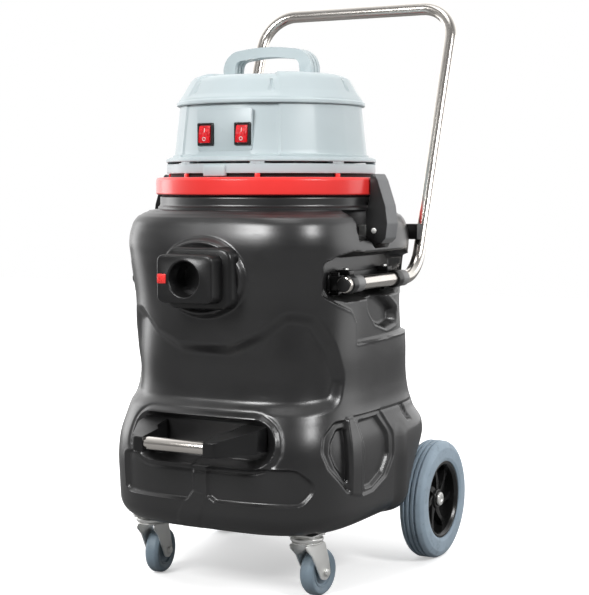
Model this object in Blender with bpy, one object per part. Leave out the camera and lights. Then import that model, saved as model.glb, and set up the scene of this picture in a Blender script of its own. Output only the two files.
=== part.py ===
"""Wheeled wet and dry shop vacuum: a moulded tank on castors with a latched motor head.

Metres, +Z up. The front, with the hose inlet, faces -Y. Everything is laid out about the
tank's upright axis and hung on one empty, which centres the whole machine on the origin.
"""
import math

import bmesh
import bpy
from mathutils import Matrix, Vector

# ---------------------------------------------------------------- driving dimensions
AXIS_Y = -0.0150          # where the tank's axis stands, so that the machine is centred in Y
GAP = 0.0003              # clearance between pieces that touch

TANK_WALL = 0.0055
TANK_BOTTOM = 0.106
TANK_FLOOR = 0.118        # upper side of the tank's floor
BOTTOM_FILLET = 0.034
COLLAR_RADIUS = 0.184
COLLAR_BASE = 0.6065
TANK_RIM = 0.627
MOUTH_RADIUS = 0.167
# height, half width, front depth, rear depth and squareness of the tank's outline
TANK_STATIONS = (
    (0.106, 0.210, 0.227, 0.232, 3.2),
    (0.220, 0.213, 0.233, 0.238, 3.2),
    (0.272, 0.206, 0.223, 0.234, 3.1),
    (0.302, 0.201, 0.212, 0.224, 2.9),
    (0.410, 0.201, 0.210, 0.220, 2.8),
    (0.480, 0.201, 0.213, 0.221, 2.8),
    (0.582, 0.202, 0.216, 0.218, 2.8),
    (0.600, 0.196, 0.207, 0.208, 2.7),
    (0.604, 0.187, 0.190, 0.192, 2.4),
)
SIDE_RECESS_X = 0.156     # floor of the hollow behind each side grip
SIDE_RECESS_Y = (-0.132, 0.132)
SIDE_RECESS_Z = (0.440, 0.540)
LATCH_RECESS_X = 0.166
LATCH_RECESS_Y = (-0.070, 0.046)
LATCH_RECESS_Z = (0.536, 0.6045)
FRONT_RECESS_Y = 0.205    # floor of the hollow behind the tipping handle
FRONT_RECESS_X = 0.130
FRONT_RECESS_Z = (0.210, 0.290)
ARCH_X = 0.178            # the tank is this wide between the rear wheels
ARCH_RADIUS = 0.134
EDGE_SOFT = 0.012         # how softly a moulded hollow starts

INLET_Z = 0.503
INLET_FACE_Y = -0.268
INLET_BASE_Y = -0.240
INLET_BACK_Y = -0.2285
INLET_BORE = 0.027        # radius of the hose socket
INLET_TUBE = 0.0305       # radius of the tube through the tank wall
INLET_TUBE_END_Y = -0.158
BOSS_HALF = (0.080, 0.065)
BOSS_HEIGHT = 0.0125

WHEEL_RADIUS = 0.1015
WHEEL_Y = 0.205
WHEEL_X = 0.207
WHEEL_WIDTH = 0.045
HUB_RADIUS = 0.0665
AXLE_RADIUS = 0.008
CAP_RADIUS = 0.012

CASTOR_RADIUS = 0.0375
CASTOR_WIDTH = 0.024
CASTOR_TRAIL = 0.031
CASTOR_X = 0.1455
CASTOR_Y = -0.144
CASTOR_TOP = TANK_BOTTOM - GAP
CASTOR_YAW = {"left": 8.0, "right": -6.0}

TUBE_RADIUS = 0.011
HANDLE_X = 0.192
GRIP_Z = 0.4915
GRIP_FRONT_Y = -0.107
HANDLE_KNEE = (0.158, GRIP_Z)          # where the side run meets the leg's line (y, z)
HANDLE_TOP = (0.3217, 0.9605)
KNEE_RADIUS = 0.065
HANDLE_CORNER_RADIUS = 0.062
BRACE_FRONT_Y = 0.150
BRACE_Z = (0.554, 0.580)

TIP_BAR_Y = -0.291
TIP_BAR_Z = 0.2525
TIP_BAR_RADIUS = 0.010
TIP_BAR_HALF = 0.0536

RING_RADIUS = 0.191
RING_BORE = 0.168
RING_Z = (0.630, 0.658)
BAND_RADIUS = 0.173
BAND_Z = (0.6645, 0.679)
FLANGE_Z = (0.683, 0.690)
SHELL_BASE_RADIUS = 0.159
SHELL_TOP_RADIUS = 0.150
SHELL_WALL = 0.003
SHELL_Z = (0.6903, 0.7735)
COVER_Z = (0.774, 0.8255)
COVER_RADIUS = 0.156
PLATEAU_RADIUS = 0.115
CARRY_HALF = 0.0845
CARRY_TOP = 0.8715
CARRY_DEPTH = 0.030
CARRY_GAP = (0.061, 0.856)             # half length and top of the finger gap

PANEL_HALF = 0.050
PANEL_Z = (0.6995, 0.7655)
PANEL_FACE_Y = -0.1465
SWITCH_X = 0.034
SWITCH_Z = 0.7255
BEZEL_HALF = (0.015, 0.018)
ROCKER_HALF = (0.010, 0.0136)
ROCKER_PLAY = 0.0012      # gap above and below the rocker in its frame
ROCKER_PIN = 0.0036       # how far the rocker's pin stands ahead of the panel
ROCKER_TILT = 7.0

MOTOR_X = 0.070
MOTOR_RADIUS = 0.054
MOTOR_Z = (0.6933, 0.800)

LATCH_PIVOT = (0.1995, 0.573)          # x, z of the latch's pin
LATCH_HALF_WIDTH = 0.020
LATCH_PIN_RADIUS = 0.003

SIDES = (("left", -1.0), ("right", 1.0))

LARGE_ROUND = 48          # facets round a ring, cover or wheel
MEDIUM_ROUND = 24         # facets round a can, cap or tube
SMALL_ROUND = 12          # facets round a pin or a bolt
HALF_FACET = math.pi / LARGE_ROUND
BEND_STEPS = 7            # straight stretches in one bend of the push handle

# ---------------------------------------------------------------- colours and finishes
FINISHES = {
    "tank_black": ((0.020, 0.020, 0.022), 0.42, 0.0),
    "trim_black": ((0.012, 0.012, 0.013), 0.50, 0.0),
    "trim_grey": ((0.060, 0.062, 0.066), 0.55, 0.0),
    "head_grey": ((0.545, 0.620, 0.635), 0.45, 0.0),
    "signal_red": ((0.800, 0.030, 0.030), 0.40, 0.0),
    "rocker_red": ((0.750, 0.020, 0.030), 0.25, 0.0),
    "polished_tube": ((0.780, 0.760, 0.720), 0.14, 1.0),
    "zinc": ((0.700, 0.700, 0.690), 0.35, 1.0),
    "tyre_grey": ((0.270, 0.345, 0.410), 0.75, 0.0),
    "cloth_white": ((0.650, 0.640, 0.600), 0.90, 0.0),
    "rubber": ((0.030, 0.030, 0.030), 0.80, 0.0),
    "foam": ((0.100, 0.100, 0.110), 0.95, 0.0),
    "float_white": ((0.800, 0.790, 0.750), 0.50, 0.0),
}


def clear_scene():
    """Take every object out of the open scene."""
    for old in list(bpy.data.objects):
        bpy.data.objects.remove(old, do_unlink=True)


def finish(name):
    """Return the named finish as a Principled material, made on its first use."""
    found = bpy.data.materials.get(name)
    if found:
        return found
    colour, roughness, metallic = FINISHES[name]
    made = bpy.data.materials.new(name)
    made.use_nodes = True
    shader = made.node_tree.nodes["Principled BSDF"]
    shader.inputs["Base Color"].default_value = (*colour, 1.0)
    shader.inputs["Roughness"].default_value = roughness
    shader.inputs["Metallic"].default_value = metallic
    made.diffuse_color = (*colour, 1.0)
    return made


def empty(name, at, parent=None, yaw=0.0):
    """Make an empty that carries a group of pieces, or stands on a joint's axis."""
    made = bpy.data.objects.new(name, None)
    made.location = at
    made.rotation_euler = (0.0, 0.0, math.radians(yaw))
    made.parent = parent
    bpy.context.scene.collection.objects.link(made)
    return made


def link(name, data, finish_name, parent, at=(0.0, 0.0, 0.0)):
    """Put mesh or curve data in the scene as one named piece."""
    made = bpy.data.objects.new(name, data)
    data.materials.append(finish(finish_name))
    made.parent = parent
    made.location = at
    bpy.context.scene.collection.objects.link(made)
    return made


def to_mesh(name, shape, smooth_angle=30.0):
    """Turn a bmesh into a mesh whose faces point out and whose round faces are smooth."""
    bmesh.ops.recalc_face_normals(shape, faces=shape.faces)
    mesh = bpy.data.meshes.new(name)
    shape.to_mesh(mesh)
    shape.free()
    mesh.shade_smooth()
    mesh.set_sharp_from_angle(angle=math.radians(smooth_angle))
    return mesh


def turned(profile, steps, axis="Z", closed=True, phase=0.0):
    """Spin a profile of (radius, height) points about an axis and return the bmesh.

    A profile that starts and ends on the axis is left open and closes on itself.
    """
    shape = bmesh.new()
    points = [shape.verts.new((radius, 0.0, height)) for radius, height in profile]
    edges = [shape.edges.new(pair) for pair in zip(points, points[1:])]
    if closed:
        edges.append(shape.edges.new((points[-1], points[0])))
    bmesh.ops.spin(shape, geom=points + edges, cent=(0, 0, 0), axis=(0, 0, 1),
                   angle=2.0 * math.pi, steps=steps, use_merge=True)
    bmesh.ops.remove_doubles(shape, verts=shape.verts, dist=1e-6)
    bmesh.ops.rotate(shape, verts=shape.verts, matrix=Matrix.Rotation(phase, 3, "Z"))
    if axis == "X":
        bmesh.ops.rotate(shape, verts=shape.verts, matrix=Matrix.Rotation(math.pi / 2, 3, "Y"))
    elif axis == "Y":
        bmesh.ops.rotate(shape, verts=shape.verts, matrix=Matrix.Rotation(-math.pi / 2, 3, "X"))
    return shape


def rod(radius, start, end, steps, axis="Z", chamfer=0.0):
    """Return a solid round bar between two stations along an axis."""
    profile = [(0.0, start), (radius - chamfer, start)]
    if chamfer:
        profile += [(radius, start + chamfer), (radius, end - chamfer)]
    else:
        profile += [(radius, end)]
    if chamfer:
        profile += [(radius - chamfer, end)]
    profile += [(0.0, end)]
    return turned(profile, steps, axis, closed=False)


def box(low, high, bevel=0.0, segments=2):
    """Return a block between two corners, its edges rounded by a bevel."""
    shape = bmesh.new()
    bmesh.ops.create_cube(shape, size=1.0)
    size = Vector(high) - Vector(low)
    bmesh.ops.scale(shape, vec=size, verts=shape.verts)
    bmesh.ops.translate(shape, vec=(Vector(high) + Vector(low)) / 2.0, verts=shape.verts)
    if bevel:
        bmesh.ops.bevel(shape, geom=shape.edges[:], offset=bevel, segments=segments,
                        affect="EDGES", profile=0.5)
    return shape


def prism(outline, start, end, axis="X"):
    """Extrude a flat outline along an axis; the outline's points are the other two axes."""
    def point(first, second):
        if axis == "X":
            return (start, first, second)
        if axis == "Y":
            return (first, start, second)
        return (first, second, start)

    shape = bmesh.new()
    face = shape.faces.new([shape.verts.new(point(*pair)) for pair in outline])
    grown = bmesh.ops.extrude_face_region(shape, geom=[face])
    moved = [item for item in grown["geom"] if isinstance(item, bmesh.types.BMVert)]
    step = {"X": (end - start, 0, 0), "Y": (0, end - start, 0), "Z": (0, 0, end - start)}[axis]
    bmesh.ops.translate(shape, vec=step, verts=moved)
    return shape


def rounded_outline(half_u, half_v, radius, steps, centre=(0.0, 0.0)):
    """Return the points of a rounded rectangle, anticlockwise from its right side."""
    points = []
    corners = ((1, -1, -90.0), (1, 1, 0.0), (-1, 1, 90.0), (-1, -1, 180.0))
    for side_u, side_v, first in corners:
        middle = (centre[0] + side_u * (half_u - radius), centre[1] + side_v * (half_v - radius))
        for step in range(steps + 1):
            angle = math.radians(first + 90.0 * step / steps)
            points.append((middle[0] + radius * math.cos(angle),
                           middle[1] + radius * math.sin(angle)))
    return points


def tool(name, shape, parent, at=(0.0, 0.0, 0.0)):
    """Make a hidden object that only serves a Boolean modifier."""
    made = bpy.data.objects.new(name, to_mesh(name, shape))
    made.parent = parent
    made.location = at
    made.hide_render = True
    made.display_type = "WIRE"
    bpy.context.scene.collection.objects.link(made)
    return made


def cut(piece, cutter, operation="DIFFERENCE"):
    """Add a Boolean modifier with the exact solver."""
    modifier = piece.modifiers.new(operation.lower() + "_" + cutter.name, "BOOLEAN")
    modifier.operation = operation
    modifier.object = cutter
    modifier.solver = "EXACT"


# ---------------------------------------------------------------- tank
def ease(value):
    """Smooth step from 0 to 1."""
    held = min(max(value, 0.0), 1.0)
    return held * held * (3.0 - 2.0 * held)


def within(value, limits, soft):
    """Return 1 inside the limits and 0 outside, rising over a soft edge within them."""
    low, high = limits
    return ease((value - low) / soft) * ease((high - value) / soft)


def station(height):
    """Interpolate the tank's outline sizes at a height."""
    if height <= TANK_STATIONS[0][0]:
        return TANK_STATIONS[0][1:]
    for lower, upper in zip(TANK_STATIONS, TANK_STATIONS[1:]):
        if height <= upper[0]:
            share = ease((height - lower[0]) / (upper[0] - lower[0]))
            return tuple(a + (b - a) * share for a, b in zip(lower[1:], upper[1:]))
    return TANK_STATIONS[-1][1:]


def fillet_inset(height):
    """How far the rounded bottom edge pulls the wall in at a height."""
    rise = height - TANK_BOTTOM
    if rise >= BOTTOM_FILLET:
        return 0.0
    drop = BOTTOM_FILLET - rise
    return BOTTOM_FILLET - math.sqrt(BOTTOM_FILLET ** 2 - drop ** 2)


def tank_radius(angle, height):
    """Distance from the axis to the tank's outer skin, in one direction at one height."""
    across, along = math.cos(angle), math.sin(angle)
    if height >= COLLAR_BASE:
        radius = COLLAR_RADIUS
    else:
        half_width, front, rear, power = station(height)
        depth = front if along < 0.0 else rear
        radius = (abs(across / half_width) ** power + abs(along / depth) ** power) ** (-1 / power)
        radius -= fillet_inset(height)
    limits = []
    y = radius * along
    x = radius * across
    side = max(abs(across), 0.05)
    grip = within(y, SIDE_RECESS_Y, EDGE_SOFT) * within(height, SIDE_RECESS_Z, EDGE_SOFT)
    limits.append((grip, SIDE_RECESS_X / side))
    if height < LATCH_RECESS_Z[1]:
        latch = within(y, LATCH_RECESS_Y, EDGE_SOFT) * ease((height - LATCH_RECESS_Z[0]) / EDGE_SOFT)
        limits.append((latch, LATCH_RECESS_X / side))
    reach = math.hypot(y - WHEEL_Y, height - WHEEL_RADIUS)
    limits.append((ease((ARCH_RADIUS - reach) / EDGE_SOFT), ARCH_X / side))
    if along < 0.0:
        front_mask = (within(x, (-FRONT_RECESS_X, FRONT_RECESS_X), EDGE_SOFT)
                      * within(height, FRONT_RECESS_Z, EDGE_SOFT))
        limits.append((front_mask, FRONT_RECESS_Y / max(-along, 0.05)))
        oval = math.hypot(x / BOSS_HALF[0], (height - INLET_Z) / BOSS_HALF[1])
        radius += BOSS_HEIGHT * ease((1.0 - oval) / 0.15)
    for share, limit in limits:
        if share > 0.0 and limit < radius:
            radius += (limit - radius) * share
    return radius


def inner_radius(angle, height):
    """Distance from the axis to the tank's inner skin."""
    if height > COLLAR_BASE - TANK_WALL:
        return MOUTH_RADIUS
    return tank_radius(angle, height) - TANK_WALL


def ring_of(shape, height, radius_at, steps):
    """Add one closed ring of points to a bmesh."""
    ring = []
    for step in range(steps):
        angle = 2.0 * math.pi * step / steps
        radius = radius_at(angle, height)
        ring.append(shape.verts.new((radius * math.cos(angle), radius * math.sin(angle), height)))
    return ring


def make_tank(parent):
    """The hollow moulded tank, open at the collar, with a hole for the inlet tube."""
    steps = 56
    outer_levels = (TANK_BOTTOM, 0.110, 0.120, 0.140, 0.200, 0.211, 0.223, 0.272, 0.289, 0.304,
                    0.405, 0.440, 0.452, 0.505, 0.528, 0.539, 0.549, 0.582, 0.596, 0.604,
                    COLLAR_BASE, TANK_RIM)
    inner_levels = (TANK_RIM, 0.600, 0.582, 0.549, 0.528, 0.452, 0.440, 0.304, 0.272, 0.223,
                    0.200, 0.150, TANK_FLOOR)
    shape = bmesh.new()
    rings = [ring_of(shape, level, tank_radius, steps) for level in outer_levels]
    rings += [ring_of(shape, level, inner_radius, steps) for level in inner_levels]
    for lower, upper in zip(rings, rings[1:]):
        for step in range(steps):
            after = (step + 1) % steps
            shape.faces.new((lower[step], lower[after], upper[after], upper[step]))
    shape.faces.new(rings[0])
    shape.faces.new(rings[-1])
    tank = link("tank", to_mesh("tank", shape, 50.0), "tank_black", parent)
    hole = rod(INLET_TUBE + GAP, -0.270, -0.175, MEDIUM_ROUND, "Y")
    cut(tank, tool("inlet_hole_cutter", hole, parent, (0.0, 0.0, INLET_Z)))
    channel = rod(AXLE_RADIUS + 0.002, -0.24, 0.24, SMALL_ROUND, "X")
    cut(tank, tool("axle_channel_cutter", channel, parent, (0.0, WHEEL_Y, WHEEL_RADIUS)))


def make_seal(parent):
    """The rubber ring between the tank's rim and the red ring."""
    profile = ((0.171, TANK_RIM + GAP), (0.171, RING_Z[0] - GAP),
               (0.182, RING_Z[0] - GAP), (0.182, TANK_RIM + GAP))
    link("tank_seal", to_mesh("tank_seal", turned(profile, LARGE_ROUND)), "rubber", parent)


# ---------------------------------------------------------------- hose inlet
def make_inlet(parent):
    """Base plate, block with the hose socket, wall tube and the red release button."""
    steps = 3
    base = prism(rounded_outline(0.060, 0.047, 0.018, steps, (0.006, INLET_Z)),
                 INLET_BACK_Y, INLET_BASE_Y + GAP, "Y")
    block = prism(rounded_outline(0.050, 0.037, 0.012, steps, (0.0, INLET_Z)),
                  INLET_BASE_Y, INLET_FACE_Y, "Y")
    base_piece = link("inlet_base", to_mesh("inlet_base", base), "tank_black", parent)
    cut(base_piece, tool("inlet_base_cutter", rod(INLET_TUBE + GAP, -0.27, -0.20, MEDIUM_ROUND, "Y"), parent,
                         (0.0, 0.0, INLET_Z)))
    block_piece = link("inlet_block", to_mesh("inlet_block", block), "tank_black", parent)
    cut(block_piece, tool("socket_cutter", rod(INLET_BORE, -0.28, -0.20, MEDIUM_ROUND, "Y"), parent,
                          (0.0, 0.0, INLET_Z)))
    slot = box((-0.0482, INLET_FACE_Y - 0.002, INLET_Z - 0.0078),
               (-0.0316, INLET_FACE_Y + 0.016, INLET_Z + 0.0078))
    cut(block_piece, tool("button_slot_cutter", slot, parent))

    tube = turned(((INLET_BORE, INLET_BASE_Y + GAP), (INLET_BORE, INLET_TUBE_END_Y),
                   (INLET_TUBE, INLET_TUBE_END_Y), (INLET_TUBE, INLET_BASE_Y + GAP)), MEDIUM_ROUND, "Y")
    link("inlet_tube", to_mesh("inlet_tube", tube), "tank_black", parent, (0.0, 0.0, INLET_Z))

    button = box((-0.0080, 0.0, -0.0075), (0.0080, 0.010, 0.0075), 0.0010, 1)
    link("release_button", to_mesh("release_button", button), "signal_red", parent,
         (-0.0399, INLET_FACE_Y - 0.0012, INLET_Z))


# ---------------------------------------------------------------- handles
def arc(centre, radius, start, end, steps):
    """Points on an arc in a plane, angles in degrees."""
    points = []
    for step in range(steps + 1):
        angle = math.radians(start + (end - start) * step / steps)
        points.append((centre[0] + radius * math.cos(angle), centre[1] + radius * math.sin(angle)))
    return points


def handle_path():
    """The push handle's centre line from the right grip's front, over the top, to the left's."""
    knee = Vector((HANDLE_KNEE[0], HANDLE_KNEE[1]))
    top = Vector((HANDLE_TOP[0], HANDLE_TOP[1]))
    lean = (top - knee).normalized()
    turn = math.acos(lean.x)
    tangent = KNEE_RADIUS * math.tan(turn / 2.0)
    centre = (knee.x - tangent, knee.y + KNEE_RADIUS)
    side = [(HANDLE_X, GRIP_FRONT_Y, GRIP_Z)]
    for y, z in arc(centre, KNEE_RADIUS, -90.0, -90.0 + math.degrees(turn), BEND_STEPS):
        side.append((HANDLE_X, y, z))
    length = (top - knee).length
    for step in range(BEND_STEPS + 1):
        angle = math.pi / 2.0 * step / BEND_STEPS
        across = HANDLE_X - HANDLE_CORNER_RADIUS * (1.0 - math.cos(angle))
        rise = length - HANDLE_CORNER_RADIUS * (1.0 - math.sin(angle))
        spot = knee + lean * rise
        side.append((across, spot.x, spot.y))
    return side + [(-x, y, z) for x, y, z in reversed(side)]


def leg_front(height):
    """Where the front of the push handle's leaning leg stands at a height."""
    slope = (HANDLE_TOP[0] - HANDLE_KNEE[0]) / (HANDLE_TOP[1] - HANDLE_KNEE[1])
    thickness = TUBE_RADIUS * math.hypot(1.0, slope)
    return HANDLE_KNEE[0] + (height - HANDLE_KNEE[1]) * slope - thickness - GAP


def make_push_handle(parent):
    """The bent tube, its end caps, and the clamps and braces that hold it to the tank."""
    curve = bpy.data.curves.new("push_handle", "CURVE")
    curve.dimensions = "3D"
    curve.bevel_depth = TUBE_RADIUS
    curve.bevel_resolution = 3
    curve.resolution_u = 1
    curve.render_resolution_u = 0
    curve.use_fill_caps = True
    path = handle_path()
    spline = curve.splines.new("POLY")
    spline.points.add(len(path) - 1)
    for point, place in zip(spline.points, path):
        point.co = (*place, 1.0)
    link("push_handle", curve, "polished_tube", parent)

    sleeve = TUBE_RADIUS + GAP
    for side, sign in SIDES:
        x = sign * HANDLE_X
        cap = rod(0.013, GRIP_FRONT_Y - 0.006, GRIP_FRONT_Y - GAP, MEDIUM_ROUND, "Y", 0.001)
        link("grip_cap_" + side, to_mesh("grip_cap_" + side, cap), "trim_black", parent,
             (x, 0.0, GRIP_Z))
        foot_x = sorted((sign * (SIDE_RECESS_X + 0.0012), sign * (HANDLE_X - 0.006)))
        for place, span in (("front", (-0.1015, -0.060)), ("rear", (0.064, 0.106))):
            name = "clamp_" + place + "_" + side
            collar = rod(0.0145, span[0], span[1], 16, "Y")
            clamp = link(name, to_mesh(name, collar), "trim_black", parent, (x, 0.0, GRIP_Z))
            foot = box((foot_x[0], span[0] + 0.004, GRIP_Z - 0.011),
                       (foot_x[1], span[1] - 0.004, GRIP_Z + 0.011), 0.002, 1)
            cut(clamp, tool(name + "_foot", foot, parent), "UNION")
            bore = rod(sleeve, span[0] - 0.01, span[1] + 0.01, 16, "Y")
            cut(clamp, tool(name + "_bore", bore, parent, (x, 0.0, GRIP_Z)))
        brace = prism([(BRACE_FRONT_Y, BRACE_Z[0])] + [(leg_front(z), z) for z in BRACE_Z]
                      + [(BRACE_FRONT_Y, BRACE_Z[1])], sign * 0.174, sign * 0.198)
        link("brace_" + side, to_mesh("brace_" + side, brace), "trim_black", parent)


def make_tip_handle(parent):
    """The bar low on the front that tips the tank out, and the two arms that carry it."""
    bar = rod(TIP_BAR_RADIUS, -TIP_BAR_HALF, TIP_BAR_HALF, MEDIUM_ROUND, "X")
    link("tip_handle_bar", to_mesh("tip_handle_bar", bar), "polished_tube", parent,
         (0.0, TIP_BAR_Y, TIP_BAR_Z))
    back = -FRONT_RECESS_Y - 0.0030
    for side, sign in SIDES:
        inner = sign * (TIP_BAR_HALF + GAP)
        outline = ((inner, TIP_BAR_Y - 0.0115), (sign * 0.074, TIP_BAR_Y - 0.0100),
                   (sign * 0.079, TIP_BAR_Y - 0.001), (sign * 0.097, back - 0.030),
                   (sign * 0.097, back), (sign * 0.071, back), (inner, back - 0.050))
        arm = prism(outline, TIP_BAR_Z - 0.012, TIP_BAR_Z + 0.012, "Z")
        rise = 0.011
        for vert in arm.verts:
            vert.co.z += rise * (vert.co.y - TIP_BAR_Y) / (back - TIP_BAR_Y)
        name = "tip_handle_arm_" + side
        link(name, to_mesh(name, arm), "trim_black", parent)


# ---------------------------------------------------------------- latches
def make_latches(parent):
    """Over-centre levers that hold the head down, each on a pin in a bracket on the tank."""
    pivot_x, pivot_z = LATCH_PIVOT
    # outline in x and z from the pin, for the right side
    outline = ((-0.0155, -0.012), (-0.008, -0.020), (0.013, -0.020), (0.0225, -0.012),
               (0.0235, 0.020), (0.0175, 0.045), (0.0055, 0.080), (0.0000, 0.0895),
               (-0.0072, 0.0905), (-0.0075, 0.0550), (-0.0150, 0.0500), (-0.0155, 0.020))
    for side, sign in SIDES:
        pivot = empty("latch_pivot_" + side, (sign * pivot_x, 0.0, pivot_z), parent)
        shape = prism([(sign * x, z) for x, z in outline], -LATCH_HALF_WIDTH, LATCH_HALF_WIDTH, "Y")
        name = "latch_lever_" + side
        lever = link(name, to_mesh(name, shape), "trim_grey", pivot)
        hollow_x = sorted((sign * -0.030, sign * 0.0125))
        hollow = box((hollow_x[0], -0.0160, -0.030), (hollow_x[1], 0.0160, 0.050))
        cut(lever, tool(name + "_hollow", hollow, pivot))
        bore = rod(LATCH_PIN_RADIUS + GAP, -0.030, 0.030, SMALL_ROUND, "Y")
        cut(lever, tool(name + "_bore", bore, pivot))
        pin = rod(LATCH_PIN_RADIUS, -0.0208, 0.0208, SMALL_ROUND, "Y")
        link("latch_pin_" + side, to_mesh("latch_pin_" + side, pin), "zinc", parent,
             (sign * pivot_x, 0.0, pivot_z))
        name = "latch_bracket_" + side
        web_x = sorted((sign * (LATCH_RECESS_X + 0.0010), sign * (pivot_x + 0.0075)))
        web = box((web_x[0], -0.0135, pivot_z - 0.0085), (web_x[1], 0.0135, pivot_z + 0.0085), 0.003, 1)
        bracket = link(name, to_mesh(name, web), "zinc", parent)
        cut(bracket, tool(name + "_bore", rod(LATCH_PIN_RADIUS + GAP, -0.03, 0.03, SMALL_ROUND, "Y"), parent,
                          (sign * pivot_x, 0.0, pivot_z)))


# ---------------------------------------------------------------- motor head
def posts(shape, height, radius_limits, angles, half_angle, rise):
    """Pull short posts out of a ring's flat side, at the given angles from the front."""
    chosen = []
    for face in shape.faces:
        middle = face.calc_center_median()
        radius = math.hypot(middle.x, middle.y)
        if abs(middle.z - height) > 1e-5 or not radius_limits[0] < radius < radius_limits[1]:
            continue
        bearing = math.degrees(math.atan2(middle.x, -middle.y))
        if any(abs((bearing - angle + 180.0) % 360.0 - 180.0) < half_angle for angle in angles):
            chosen.append(face)
    grown = bmesh.ops.extrude_face_region(shape, geom=chosen)
    moved = [item for item in grown["geom"] if isinstance(item, bmesh.types.BMVert)]
    bmesh.ops.translate(shape, vec=(0.0, 0.0, rise), verts=moved)
    bmesh.ops.delete(shape, geom=chosen, context="FACES")
    return shape


POST_ANGLES = tuple(22.5 + 45.0 * count for count in range(8))


def make_filter_group(head):
    """The red ring, the filter hung in it and the float valve under the motor plate."""
    low, high = RING_Z
    profile = ((RING_BORE, low), (RING_RADIUS - 0.001, low), (RING_RADIUS, low + 0.001),
               (RING_RADIUS, high - 0.003), (RING_RADIUS - 0.003, high), (0.1725, high),
               (RING_BORE, high))
    ring = posts(turned(profile, LARGE_ROUND, phase=HALF_FACET), high, (RING_BORE, 0.1725), POST_ANGLES, 2.5,
                 BAND_Z[0] - GAP - high)
    link("filter_ring", to_mesh("filter_ring", ring), "signal_red", head)

    wall, bag_top, bag_bottom = 0.004, 0.646, 0.425
    bag = turned(((0.0, bag_bottom), (0.105, bag_bottom), (0.126, bag_bottom + 0.025),
                  (0.134, bag_top - 0.006), (0.1675, bag_top - 0.006), (0.1675, bag_top),
                  (0.130, bag_top), (0.122, bag_bottom + 0.027), (0.103, bag_bottom + wall),
                  (0.0, bag_bottom + wall)), 28, closed=False)
    link("filter_bag", to_mesh("filter_bag", bag), "cloth_white", head)

    cage_top = BAND_Z[0] - GAP
    cage = turned(((0.0, 0.560), (0.048, 0.560), (0.048, cage_top - 0.006), (0.058, cage_top - 0.006),
                   (0.058, cage_top), (0.0445, cage_top), (0.0445, 0.5635), (0.0, 0.5635)),
                  MEDIUM_ROUND, closed=False)
    cage_piece = link("float_cage", to_mesh("float_cage", cage), "trim_grey", head)
    for count in range(2):
        window = box((-0.070, -0.017, 0.575), (0.070, 0.017, 0.640))
        if count:
            bmesh.ops.rotate(window, verts=window.verts, matrix=Matrix.Rotation(math.pi / 2, 3, "Z"))
        cut(cage_piece, tool("cage_window_%d" % count, window, head))
    ball = bmesh.new()
    bmesh.ops.create_uvsphere(ball, u_segments=16, v_segments=10, radius=0.030)
    link("float_ball", to_mesh("float_ball", ball), "float_white", head, (0.0, 0.0, 0.5950))


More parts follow.
